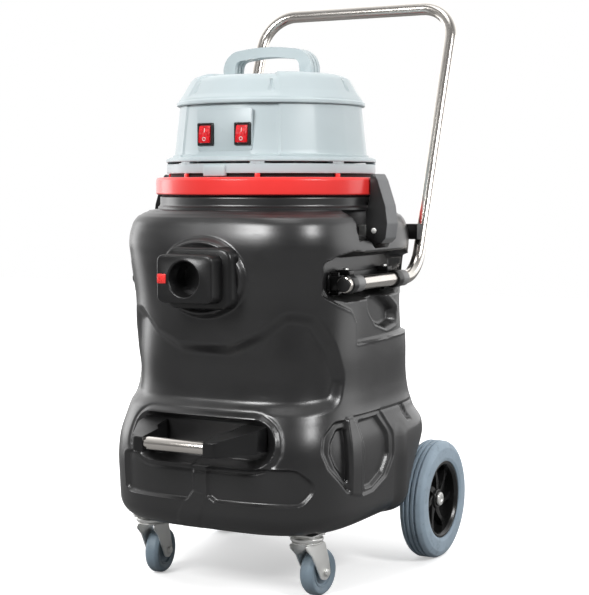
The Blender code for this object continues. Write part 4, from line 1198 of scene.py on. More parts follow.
# ---------------- handles
@dataclass
class PushHandle(Assembly):
    """The bent tube, its side grips and the clamps that hold it to the tank."""

    body: str = "trolley"
    radius: float = 0.011
    x: float = 0.192
    grip_z: float = 0.4915
    grip_front: float = -0.107
    knee: Flat = (0.158, 0.4915)
    top: Flat = (0.3217, 0.9605)
    knee_radius: float = 0.065
    corner_radius: float = 0.062
    wall_x: float = 0.1575
    brace_front: float = 0.150
    brace_z: Flat = (0.554, 0.580)

    def path(self) -> list[Spot]:
        """Centre line of the tube from the right grip over the top to the left grip.

        Returns:
            Its points.
        """
        leg = rounded([(self.grip_front, self.grip_z, 0.0), (*self.knee, self.knee_radius),
                       (*self.top, 0.0)], False, 24)
        lean = (Vector(self.top) - Vector(self.knee)).normalized()
        right = [(self.x, y, z) for y, z in leg[:-1]]
        corner = rounded([(0.0, 0.0, 0.0), (0.3, 0.0, self.corner_radius), (0.3, -self.x, 0.0)], False, 20)
        for rise, shift in corner[1:-1]:
            spot = Vector(self.top) + lean * (rise - 0.3)
            right.append((self.x + shift, spot.x, spot.y))
        straight = [(x, self.top[0], self.top[1]) for x in (0.08, 0.0, -0.08)]
        return right + straight + [(-x, y, z) for x, y, z in reversed(right)]

    def collar(self, radius: float, start: float, end: float, edge: float = 0.001) -> Shape:
        """A sleeve on the side run between two stations.

        Args:
            radius: Outer radius.
            start: First station.
            end: Last station.
            edge: Radius of its rims.

        Returns:
            The sleeve.
        """
        inner = self.radius + 0.0002
        profile = rounded([(inner, start, 0), (radius, start, edge), (radius, end, edge), (inner, end, 0)],
                          steps=4)
        return moved(lathe(profile, 48, Axis.Y), (0.0, 0.0, self.grip_z))

    def clamp(self, sign: float, start: float, end: float) -> Shape:
        """A split clamp with a foot and a stiffening rib.

        Args:
            sign: -1 for the left, 1 for the right.
            start: First station.
            end: Last station.

        Returns:
            The clamp.
        """
        low, high = sorted((sign * (self.wall_x + 0.001), sign * (self.x - 0.004)))
        foot = block((low - sign * self.x, start + 0.002, self.grip_z - 0.012),
                     (high - sign * self.x, end - 0.002, self.grip_z + 0.012), 0.003)
        rib = block((low - sign * self.x, (start + end) / 2 - 0.002, self.grip_z - 0.018),
                    (low - sign * self.x + 0.016, (start + end) / 2 + 0.002, self.grip_z + 0.018), 0.001)
        return merge(self.collar(0.0145, start, end, 0.0025), foot, rib)

    def build(self) -> None:
        """Build the tube and each side's fittings."""
        self.piece("push_tube", sweep(self.path(), circle(self.radius, 32)), Finish.TUBE, ["push_handle"],
                   crease=60)
        for side, sign in SIDES:
            spot = (sign * self.x, AXIS[1], 0.0)
            rise = (0.0, 0.0, self.grip_z)
            cap = rounded([
                (0, -0.1130, 0), (0.0112, -0.1130, 0.0015), (0.0112, -0.1105, 0), (0, -0.1105, 0)], False)
            ferrule = rounded([(0.0060, -0.1108, 0), (0.0128, -0.1108, 0.002),
                               (0.0128, -0.1018, 0.001), (0.0060, -0.1018, 0)])
            self.piece("grip_ferrule_" + side, moved(lathe(ferrule, 48, Axis.Y), rise), Finish.TUBE, (), spot)
            self.piece("grip_end_" + side, moved(lathe(cap, 48, Axis.Y), rise), Finish.TRIM,
                       ["grip_cap_" + side], spot)
            self.piece("front_clamp_" + side, self.clamp(sign, -0.1015, -0.083), Finish.TRIM,
                       ["clamp_front_" + side], spot)
            self.piece("front_sleeve_" + side, self.collar(0.0133, -0.0828, -0.058), Finish.SLEEVE, (), spot)
            self.piece("rear_clamp_" + side, self.clamp(sign, 0.064, 0.084), Finish.TRIM,
                       ["clamp_rear_" + side], spot)
            self.piece("rear_sleeve_" + side, self.collar(0.0133, 0.0842, 0.106), Finish.SLEEVE, (), spot)
            self.frame_plate(side, sign)
            self.brace(side, sign)

    def frame_plate(self, side: str, sign: float) -> None:
        """The plate behind the grip, with its lugs and screws.

        Args:
            side: The side's name.
            sign: -1 for the left, 1 for the right.
        """
        low, high = sorted((sign * (self.wall_x + 0.0008), sign * (self.wall_x + 0.0045)))
        outer = rounded([(-0.104, self.grip_z - 0.013, 0.006), (-0.104, self.grip_z + 0.016, 0.008),
                         (0.106, self.grip_z + 0.016, 0.008), (0.106, self.grip_z - 0.013, 0.006)])
        plate = slab(outer, low, high, Axis.X, 0.0012)
        self.piece("grip_plate_" + side, plate, Finish.TRIM)
        for count, y in enumerate((-0.060, 0.080)):
            head = rounded([(0, 0, 0), (0.0042, 0, 0.0015), (0.0045, -0.003, 0), (0, -0.003, 0)], False)
            screw = lathe(head, 24)
            spot = (sign * (self.wall_x + 0.012), y + AXIS[1], self.grip_z + 0.0235)
            lug = block((-0.011, -0.009, -0.012), (0.011, 0.009, -0.003), 0.002)
            self.piece("grip_lug_%s_%d" % (side, count), lug, Finish.TRIM, (), spot)
            self.piece("grip_screw_%s_%d" % (side, count), screw, Finish.ZINC, (), spot)

    def brace(self, side: str, sign: float) -> None:
        """The saddle between the tank's back and the leaning leg.

        Args:
            side: The side's name.
            sign: -1 for the left, 1 for the right.
        """
        slope = (self.top[0] - self.knee[0]) / (self.top[1] - self.knee[1])
        reach = self.radius * math.hypot(1.0, slope) + 0.0003
        back = [self.knee[0] + (z - self.knee[1]) * slope - reach for z in self.brace_z]
        outline = rounded([(self.brace_front, self.brace_z[0], 0.002), (back[0], self.brace_z[0], 0.001),
                           (back[1], self.brace_z[1], 0.001), (self.brace_front, self.brace_z[1], 0.002)])
        low, high = sorted((sign * 0.174, sign * 0.198))
        self.piece("brace_saddle_" + side, slab(outline, low, high, Axis.X, 0.002), Finish.TRIM,
                   ["brace_" + side])


@dataclass
class TipHandle(Assembly):
    """The bar low on the front and the two arms that carry it."""

    body: str = "trolley"
    bar_y: float = -0.291
    bar_z: float = 0.2525
    bar_radius: float = 0.010
    bar_half: float = 0.0536
    arm_back: float = -0.208
    arm_half: float = 0.0125

    def build(self) -> None:
        """Build the bar and both arms."""
        end = [(0, -self.bar_half, 0), (self.bar_radius, -self.bar_half, 0.0008)]
        bar = lathe(rounded(end + mirrored(end), False), 64, Axis.X)
        spot = (0.0, AXIS[1] + self.bar_y, self.bar_z)
        self.piece("tipping_bar", bar, Finish.TUBE, ["tip_handle_bar"], spot)
        for side, sign in SIDES:
            inner, bar, back = self.bar_half + 0.0003, self.bar_y, self.arm_back
            corners = [(inner, bar - 0.0120, 0.002), (0.0735, bar - 0.0105, 0.010),
                       (0.0815, bar + 0.004, 0.012), (0.108, back - 0.026, 0.014), (0.112, back, 0.002),
                       (0.070, back, 0.002), (0.066, back - 0.036, 0.012), (inner, back - 0.052, 0.004)]
            outline = rounded([(sign * x, y, radius) for x, y, radius in corners])
            arm = slab(outline, -self.arm_half, self.arm_half, Axis.Z, 0.003, 4)
            for vert in arm.verts:
                share = (vert.co.y - self.bar_y) / (self.arm_back - self.bar_y)
                vert.co.z = self.bar_z + vert.co.z * (1.0 + 0.55 * share) + 0.006 * share
            self.piece("tipping_arm_" + side, arm, Finish.TRIM, ["tip_handle_arm_" + side], crease=45)


# ---------------- latches
@dataclass
class Latches(Assembly):
    """The two over-centre levers, their pins and brackets."""

    body: str = "trolley"
    pivot: Flat = (0.1995, 0.573)
    half_width: float = 0.020
    web: float = 0.0036
    pin_radius: float = 0.003
    bracket_x: float = 0.167
    # outline of x, z and corner radius from the pin, for the right side
    outer: tuple[Spot, ...] = (
        (-0.0080, -0.0195, 0.004), (0.0125, -0.0196, 0.006), (0.0198, -0.0120, 0.006), (0.0225, 0.012, 0.02),
        (0.0188, 0.040, 0.03), (0.0053, 0.080, 0.02), (0.0000, 0.0898, 0.003), (-0.0066, 0.0898, 0.002),
        (-0.0070, 0.0550, 0.004), (-0.0140, 0.0300, 0.01), (-0.0140, -0.010, 0.006))
    back: tuple[Spot, ...] = (
        (0.0120, -0.0196, 0.002), (0.0130, -0.0200, 0.006), (0.0205, -0.0120, 0.006), (0.0232, 0.012, 0.02),
        (0.0195, 0.040, 0.03), (0.0060, 0.080, 0.02), (0.0000, 0.0905, 0.003), (-0.0070, 0.0905, 0.002),
        (-0.0072, 0.0810, 0.002), (0.0010, 0.0780, 0.01), (0.0150, 0.038, 0.03), (0.0185, 0.010, 0.02),
        (0.0160, -0.0100, 0.004))

    def build(self) -> None:
        """Build both latches."""
        for side, sign in SIDES:
            spot = (sign * self.pivot[0], AXIS[1], self.pivot[1])
            outer = [(sign * x, z) for x, z in rounded(self.outer)]
            back = [(sign * x, z) for x, z in rounded(self.back)]
            cheek = self.half_width - self.web
            cheeks = merge(slab(outer, -self.half_width, -cheek, Axis.Y, 0.0009),
                           slab(outer, cheek, self.half_width, Axis.Y, 0.0009))
            self.piece("latch_cheeks_" + side, cheeks, Finish.TRIM, ["latch_lever_" + side], spot,
                       "latch_" + side, 40)
            inset = self.half_width - 0.0006
            self.piece("latch_back_" + side, slab(back, -inset, inset, Axis.Y, 0.0008), Finish.LATCH, (),
                       spot, "latch_" + side, 40)
            end = [(0, -0.0222, 0), (0.0048, -0.0222, 0.0012), (0.0048, -0.0203, 0),
                   (self.pin_radius, -0.0203, 0)]
            rivet = lathe(rounded(end + mirrored(end), False), 32, Axis.Y)
            self.piece("latch_rivet_" + side, rivet, Finish.ZINC, ["latch_pin_" + side], spot)
            low, high = sorted((sign * (self.bracket_x - self.pivot[0]), sign * 0.0072))
            tongue = rounded([
                (low, -0.0085, 0.002), (low, 0.0085, 0.002), (high, 0.0085, 0.006), (high, -0.0085, 0.006)])
            foot = sign * (self.bracket_x - self.pivot[0])
            near, far = sorted((foot, foot + sign * 0.003))
            web = merge(slab(tongue, -0.0135, -0.0110, Axis.Y, 0.0005),
                        slab(tongue, 0.0110, 0.0135, Axis.Y, 0.0005),
                        block((near, -0.0135, -0.0085), (far, 0.0135, 0.0085), 0.0005))
            self.piece("latch_saddle_" + side, web, Finish.ZINC, ["latch_bracket_" + side], spot)


# ---------------- motor head
@dataclass
class MotorHead(Assembly):
    """Red ring, motor plate, flange, faceted shell, domed cover and carry handle."""

    body: str = "head"
    columns: int = 288
    facets: int = 16
    facet_soft: float = 0.30
    wedge: float = 34.0
    wedge_soft: float = 0.7
    panel_y: float = 0.1478
    ring: Flat = (0.630, 0.658)
    ring_radius: float = 0.191
    ring_bore: float = 0.168
    band: Flat = (0.6645, 0.679)
    band_radius: float = 0.173
    flange: Flat = (0.683, 0.690)
    post_half: float = 0.0042
    shell_top: float = 0.7735
    cover_low: float = 0.774
    cover_top: float = 0.8255
    cover_radius: float = 0.156
    recess_bearings: tuple[float, ...] = (30.0, 90.0, 150.0, 210.0, 270.0, 330.0)
    recess: Flat = (0.7990, 0.0150)    # foot and height of a recess
    carry_half: float = 0.0845
    carry_top: float = 0.8715
    carry_depth: float = 0.030
    gap_half: float = 0.061
    gap_top: float = 0.856

    def facet(self, bearing: np.ndarray) -> np.ndarray:
        """How far the many-sided outline comes in from its circle, as a share of the radius.

        Args:
            bearing: Bearings from the front, in radians.

        Returns:
            The share of the radius that is left.
        """
        step = 2.0 * math.pi / self.facets
        offset = (bearing + step / 2.0) % step - step / 2.0
        flat = math.cos(step / 2.0) / np.cos(offset)
        return 1.0 - (1.0 - flat / flat.max()) * self.facet_soft

    def front_share(self, bearing: np.ndarray) -> np.ndarray:
        """1 inside the control wedge at the front, 0 outside it."""
        return smooth_step((self.wedge - np.abs(np.degrees(bearing))) / self.wedge_soft + 0.5)

    def skin(self, profile: Sequence[Flat], shape_of: Callable[[np.ndarray, float, float], tuple]) -> list:
        """Rings of a many-sided skin.

        Args:
            profile: Radius and height of each ring.
            shape_of: Gives a ring's radii and heights from the bearings, its radius and its height.

        Returns:
            The rings' points.
        """
        bearings = np.linspace(0.0, 2.0 * math.pi, self.columns, endpoint=False)
        centred = (bearings + math.pi) % (2.0 * math.pi) - math.pi
        rings = []
        for radius, height in profile:
            radii, heights = shape_of(centred, radius, height)
            rings.append([(r * math.sin(b), -r * math.cos(b), z)
                          for r, b, z in zip(radii, bearings, heights)])
        return rings

    def shell_ring(self, bearing: np.ndarray, radius: float, height: float) -> tuple:
        """One ring of the shell, flat and set back behind the control panel.

        Args:
            bearing: Bearings from the front, in radians.
            radius: The ring's radius.
            height: The ring's height.

        Returns:
            Its radii and heights.
        """
        radii = radius * self.facet(bearing)
        share = self.front_share(bearing)
        radii = radii - 0.0028 * share
        flat = (self.panel_y + 0.0002) / np.maximum(np.cos(bearing), 0.4)
        radii = np.where(share > 0.0, radii + (np.minimum(radii, flat) - radii) * share, radii)
        return radii, np.full(bearing.shape, height)

    def cover_ring(self, bearing: np.ndarray, radius: float, height: float) -> tuple:
        """One ring of the domed cover, with its lowered wedge and teardrop recesses.

        Args:
            bearing: Bearings from the front, in radians.
            radius: The ring's radius.
            height: The ring's height.

        Returns:
            Its radii and heights.
        """
        fade = smooth_step(np.array((radius - 0.10) / 0.03))
        radii = radius * (1.0 - (1.0 - self.facet(bearing)) * float(fade))
        share = self.front_share(bearing)
        on_dome = float(smooth_step(np.array((height - 0.783) / 0.012)))
        heights = np.full(bearing.shape, height) - 0.0038 * share * on_dome
        foot, tall = self.recess
        share_up = min(max((height - foot) / tall, 0.0), 1.0)
        half = 0.0034 - 0.0020 * share_up
        over = abs(height - foot - tall * share_up)
        for place in self.recess_bearings:
            away = (bearing - math.radians(place) + math.pi) % (2.0 * math.pi) - math.pi
            pull = smooth_step((half + 0.0012 - np.hypot(away * radius, over)) / 0.0020)
            radii = radii - 0.0038 * pull
        return radii, heights

    def post_row(self, radius: float, low: float, high: float, depth: float) -> list:
        """Small posts at even bearings between two rings.

        Args:
            radius: Where their outer faces stand.
            low: Height of their feet.
            high: Height of their tops.
            depth: How far in they reach.

        Returns:
            The posts.
        """
        row = []
        for count in range(8):
            post = block((-self.post_half, -radius, low), (self.post_half, -radius + depth, high), 0.0008, 2)
            row.append(moved(post, turn=22.5 + 45.0 * count))
        return row

    def build(self) -> None:
        """Build every visible piece of the head."""
        self.red_ring()
        self.motor_band()
        self.exhaust_lip()
        self.shell()
        self.cover()
        self.carry()
        self.gland()

    def red_ring(self) -> None:
        """The stepped filter ring with the posts on it."""
        low, high = self.ring
        big = self.ring_radius
        profile = rounded([
            (self.ring_bore, low, 0.0005), (big - 0.002, low, 0.0), (big, low + 0.0015, 0.002),
            (big, high - 0.0045, 0.003), (big - 0.0022, high - 0.0005, 0.001), (big - 0.005, high, 0.001),
            (0.1745, high - 0.002, 0.001), (self.ring_bore, high - 0.002, 0.0005)])
        ring = merge(lathe(profile, 192), *self.post_row(0.1724, high - 0.003, self.band[0] - 0.0003, 0.0042))
        self.piece("red_ring", ring, Finish.RED, ["filter_ring"])

    def motor_band(self) -> None:
        """The motor plate's band with its front tab, and the gasket below it."""
        low, high = self.band
        big = self.band_radius
        profile = rounded([
            (0.120, high + 0.0003, 0), (0.120, low - 0.0003, 0), (big - 0.0006, low - 0.0003, 0.001),
            (big, low + 0.002, 0.001), (big, high - 0.002, 0.0015), (big - 0.003, high + 0.0003, 0.001)])
        tab = block((-0.020, -big - 0.0032, low - 0.0052), (0.020, -big + 0.006, high - 0.003), 0.0016)
        self.piece("motor_band", merge(lathe(profile, 192), moved(tab, turn=-1.0)), Finish.HEAD)
        self.keep("motor_plate", Finish.HEAD)
        gasket = rounded([(0.1600, self.ring[1] - 0.003, 0), (0.1665, self.ring[1] - 0.003, 0.0005),
                          (0.1665, low - 0.0002, 0.0005), (0.1600, low - 0.0002, 0)])
        self.piece("head_gasket", lathe(gasket, 144), Finish.RUBBER)

    def exhaust_lip(self) -> None:
        """The flange's lip with its row of posts."""
        low, high = self.flange
        profile = rounded([
            (0.120, low - 0.0003, 0), (self.band_radius + 0.001, low - 0.0003, 0.001),
            (self.band_radius + 0.001, low + 0.0035, 0.002), (0.168, high + 0.0003, 0.003),
            (0.120, high + 0.0003, 0)])
        posts = self.post_row(self.band_radius, self.band[1] - 0.001, low + 0.002, 0.010)
        self.piece("exhaust_lip", merge(lathe(profile, 192), *posts), Finish.HEAD)
        self.keep("exhaust_flange", Finish.HEAD)

    def shell(self) -> None:
        """The faceted shell round the motors."""
        low, high = self.flange[1] + 0.0006, self.shell_top
        count = 14
        outer = [(0.1625, low), (0.1625, low + 0.0030), (0.1600, low + 0.0042)]
        outer += [(0.1592 - 0.0088 * k / count, low + 0.006 + (high - low - 0.006) * k / count)
                  for k in range(count + 1)]
        inner = [(0.1465, high), (0.1465, low)]
        rings = self.skin(outer + inner, self.shell_ring)
        shape = loft(rings + [rings[0]], False, False)
        bmesh.ops.remove_doubles(shape, verts=shape.verts, dist=1e-6)
        self.piece("faceted_shell", shape, Finish.HEAD, ["head_shell"], crease=24)

    def cover(self) -> None:
        """The domed cover with its lip, lowered front and teardrop recesses."""
        low = self.cover_low
        lip = self.cover_radius
        corners = [(0.130, low, 0), (lip - 0.001, low, 0.0008), (lip, low + 0.0015, 0.001),
                   (lip, low + 0.0058, 0.002), (lip - 0.0036, low + 0.0080, 0.001),
                   (0.1518, low + 0.010, 0.004), (0.1435, 0.7960, 0.050), (0.1290, 0.8205, 0.020),
                   (0.1120, self.cover_top, 0.030), (0.0700, self.cover_top, 0)]
        spine = rounded(corners, False, 7)
        profile: list[Flat] = []
        for start, end in zip(spine, spine[1:]):
            recessed = start[1] > low + 0.008 and end[0] > 0.11
            profile += stretch(start, end, 0.0012 if recessed else 1.0)
        profile += [spine[-1], (0.010, self.cover_top)]
        self.piece("domed_cover", loft(self.skin(profile, self.cover_ring)), Finish.HEAD, ["top_cover"],
                   crease=30)

    def carry(self) -> None:
        """The carry handle's arch with its grip groove."""
        foot = self.cover_top - 0.0005
        half = self.carry_depth / 2.0

        def arch(inset: float) -> list[Flat]:
            """The arch's outline, pulled in by an inset."""
            wide, top = self.carry_half - inset, self.carry_top - inset
            gap, roof = self.gap_half + inset, self.gap_top + inset
            outer = [(wide, foot, 0), (wide - 0.004, top - 0.007, 0.034), (0.0, top + 0.002, 0.30),
                     (-wide + 0.004, top - 0.007, 0.034), (-wide, foot, 0)]
            inner = [(-gap, foot, 0), (-gap + 0.001, roof - 0.006, 0.012), (0.0, roof + 0.001, 0.30),
                     (gap - 0.001, roof - 0.006, 0.012), (gap, foot, 0)]
            return rounded(outer, False, 12) + rounded(inner, False, 10)

        cheeks = [slab(arch(0.0), start, end, Axis.Y, 0.0024, 4)
                  for start, end in ((-half, -0.0060), (-0.0040, 0.0040), (0.0060, half))]
        core = slab(arch(0.0022), -0.0070, 0.0070, Axis.Y)
        self.piece("carry_arch", merge(*cheeks, core), Finish.HEAD, ["carry_handle"], crease=60)

    def gland(self) -> None:
        """The cable gland at the back, with a ribbed sleeve."""
        profile = [(0.0, 0.1465, 0), (0.008, 0.1465, 0), (0.008, 0.1600, 0), (0.0135, 0.1600, 0.001),
                   (0.0135, 0.1640, 0.001)]
        for count in range(4):
            y = 0.1655 + 0.0042 * count
            reach = 0.0122 - 0.0010 * count
            profile += [(reach - 0.0016, y, 0), (reach, y + 0.0006, 0.0004), (reach, y + 0.0024, 0.0004),
                        (reach - 0.0016, y + 0.0030, 0)]
        profile += [(0.0045, 0.1820, 0), (0.0045, 0.1700, 0), (0.0, 0.1700, 0)]
        shape = moved(lathe(rounded(profile, False), 48, Axis.Y), (0.0, 0.0, 0.715))
        self.piece("gland_boot", shape, Finish.TRIM, ["cable_gland"])


@dataclass
class Switches(Assembly):
    """The control panel and its two framed rocker switches."""

    body: str = "head"
    x: float = 0.034
    z: float = 0.7255
    panel_half: float = 0.050
    panel_z: Flat = (0.6995, 0.7655)
    panel_y: float = -0.1465
    frame_half: Flat = (0.015, 0.018)
    rocker_half: Flat = (0.010, 0.0136)
    play: Flat = (0.0005, 0.0012)
    pin_ahead: float = 0.0036
    tilt: float = 7.0

    def build(self) -> None:
        """Build the panel, the frames and the rockers."""
        half, (low, high) = self.panel_half, self.panel_z
        corners = ((-half, low), (half, low), (half, high), (-half, high))
        outline = rounded([(x, z, 0.004) for x, z in corners])
        plate = slab(outline, self.panel_y - 0.002, self.panel_y + 0.002, Axis.Y, 0.0006)
        self.piece("control_plate", plate, Finish.HEAD, ["switch_panel"])
        for side, sign in SIDES:
            self.switch(side, sign)

    def switch(self, side: str, sign: float) -> None:
        """Build one frame with its rocker.

        Args:
            side: The side's name.
            sign: -1 for the left, 1 for the right.
        """
        half_x, half_z = self.frame_half
        inner_x, inner_z = (self.rocker_half[k] + self.play[k] for k in (0, 1))
        back, front = self.panel_y - 0.0003, self.panel_y - 0.0058
        spot = (sign * self.x, AXIS[1], self.z)

        def ring(half_x: float, half_z: float, radius: float, y: float) -> list[Spot]:
            """A rounded rectangular ring at a depth."""
            outline = rounded(rectangle(half_x, half_z, radius), steps=4)
            return [(x, y, z) for x, z in by_bearing(outline, 96)]

        rings = [ring(half_x, half_z, 0.0015, back), ring(half_x, half_z, 0.0015, front + 0.0018),
                 ring(half_x - 0.0012, half_z - 0.0012, 0.0015, front),
                 ring(inner_x + 0.0008, inner_z + 0.0008, 0.001, front),
                 ring(inner_x, inner_z, 0.0008, front + 0.0010), ring(inner_x, inner_z, 0.0008, back)]
        self.piece("switch_bezel_" + side, loft(rings, False, False), Finish.TRIM, ["switch_frame_" + side],
                   spot, crease=40)
        top = self.rocker_half[1]
        push = top * math.tan(math.radians(self.tilt))
        outline = rounded([(0.0010, top, 0), (-0.0036 + push, top, 0.0010), (-0.0046, 0.0, 0.014),
                           (-0.0036 - push, -top, 0.0010), (-0.0023, -top, 0)])
        pivot = (sign * self.x, AXIS[1] + self.panel_y - self.pin_ahead, self.z)
        rocker = slab(outline, -self.rocker_half[0], self.rocker_half[0], Axis.X, 0.0006)
        self.piece("rocker_" + side, rocker, Finish.ROCKER, ["switch_rocker_" + side], pivot,
                   "rocker_" + side)
        ring_mark = lathe(rounded([
            (0.0022, 0.0, 0), (0.0032, 0.0, 0), (0.0032, 0.0006, 0), (0.0022, 0.0006, 0)]), 24, Axis.Y)
        bar_mark = moved(block((-0.0006, -0.0002, -0.0033), (0.0006, 0.0006, 0.0033), 0.0001),
                         turn=-11.2, about="X")
        dot = merge(moved(ring_mark, (0, -0.0053, -0.0075)), moved(bar_mark, (0, -0.0034, 0.0062)))
        self.piece("rocker_mark_" + side, dot, Finish.MARK, (), pivot, "rocker_" + side)


# ---------------- running gear
@dataclass
class Castors(Assembly):
    """The two swivel castors under the front."""

    body: str = "trolley"
    x: float = 0.1455
    y: float = -0.144
    top: float = 0.1057
    radius: float = 0.0375
    width: float = 0.024
    trail: float = 0.031
    yaw: Flat = (8.0, -6.0)

    def build(self) -> None:
        """Build both castors."""
        for (side, sign), yaw in zip(SIDES, self.yaw):
            spot = (sign * self.x, AXIS[1] + self.y, 0.0)
            self.mount(side, spot)
            self.fork(side, spot, yaw)
            self.wheel(side, spot, yaw)

    def mount(self, side: str, spot: Spot) -> None:
        """The fixing plate with its pressed raceway and bolts.

        Args:
            side: The side's name.
            spot: Foot of the swivel axis.
        """
        race = lathe(rounded([
            (0, 0.0925, 0), (0.0235, 0.0925, 0.001), (0.0262, 0.0950, 0.002), (0.0262, 0.0985, 0.002),
            (0.0215, 0.1020, 0.003), (0.0205, 0.1038, 0), (0, 0.1038, 0)], False), 72)
        plate = moved(slab(rounded(rectangle(0.024, 0.024, 0.006)), 0.1037, self.top, Axis.Z, 0.0004))
        head = rounded([(0, -0.0035, 0), (0.0045, -0.0035, 0.0008), (0.0045, 0, 0), (0, 0, 0)], False)
        heads = [moved(lathe(head, 6), (x, y, 0.1040)) for x in (-0.018, 0.018) for y in (-0.018, 0.018)]
        self.piece("castor_mount_" + side, merge(race, plate, *heads), Finish.ZINC,
                   ["castor_plate_" + side], spot)

    def fork(self, side: str, spot: Spot, yaw: float) -> None:
        """The pressed fork: a crown and two legs, with the axle bolt.

        Args:
            side: The side's name.
            spot: Foot of the swivel axis.
            yaw: Turn about that axis, in degrees.
        """
        half, t = self.width / 2.0, 0.0022
        leg = rounded([
            (-0.0235, 0.0895, 0.002), (-0.0245, 0.0845, 0.006), (-0.0080, 0.0700, 0.020),
            (0.0170, 0.0290, 0.010), (0.0310, 0.0255, 0.011), (0.0440, 0.0330, 0.011),
            (0.0375, 0.0600, 0.020), (0.0290, 0.0840, 0.010), (0.0235, 0.0895, 0.002)])
        legs = [slab(leg, sign * (half + 0.0022), sign * (half + 0.0022 + t), Axis.X, 0.0007)
                for sign in (-1.0, 1.0)]
        crown = lathe(rounded([(0, 0.0880, 0), (0.0185, 0.0880, 0.001), (0.0235, 0.0895, 0.002),
                               (0.0240, 0.0920, 0.001), (0, 0.0920, 0)], False), 60)
        shape = moved(merge(crown, *legs), turn=yaw)
        self.piece("castor_frame_" + side, shape, Finish.ZINC, ["castor_fork_" + side], spot,
                   "castor_" + side)
        end = half + 0.0082
        seat = half + 0.0045
        bolt = lathe(rounded([(0, -end, 0), (0.0055, -end, 0.0012), (0.0060, -seat, 0), (0.004, -seat, 0),
                              (0.004, seat, 0), (0.0060, seat, 0), (0.0060, end, 0.001), (0, end, 0)],
                             False), 12, Axis.X)
        bolt = moved(moved(bolt, (0.0, self.trail, self.radius)), turn=yaw)
        self.piece("castor_bolt_" + side, bolt, Finish.ZINC, ["castor_axle_" + side], spot, "castor_" + side)

    def wheel(self, side: str, spot: Spot, yaw: float) -> None:
        """The rubber wheel with its hub ring.

        Args:
            side: The side's name.
            spot: Foot of the swivel axis.
            yaw: Turn about that axis, in degrees.
        """
        half, big = self.width / 2.0, self.radius
        face = [(0.0245, -half + 0.0012, 0.001), (0.0300, -half, 0.002), (big - 0.0040, -half, 0.003),
                (big, -half + 0.0055, 0.006)]
        tyre = lathe(rounded(face + mirrored(face)), 96, Axis.X)
        tyre = moved(moved(tyre, (0.0, self.trail, self.radius)), turn=yaw)
        name = "castor_wheel_" + side
        # Tread and hub ring use the tyre rubber darkened with painted shade for their place under the tank.
        self.piece("castor_tread_" + side, tyre, Finish.CASTOR, [name], spot, name)
        face = [(0.0048, -half - 0.0004, 0.0005), (0.0095, -half - 0.0004, 0.001),
                (0.0105, -half + 0.004, 0.002), (0.0200, -half + 0.004, 0.002),
                (0.0215, -half + 0.0008, 0.001), (0.0243, -half + 0.0008, 0)]
        hub = lathe(rounded(face + mirrored(face)), 72, Axis.X)
        hub = moved(moved(hub, (0.0, self.trail, self.radius)), turn=yaw)
        self.piece("castor_core_" + side, hub, Finish.CASTOR, (), spot, name)


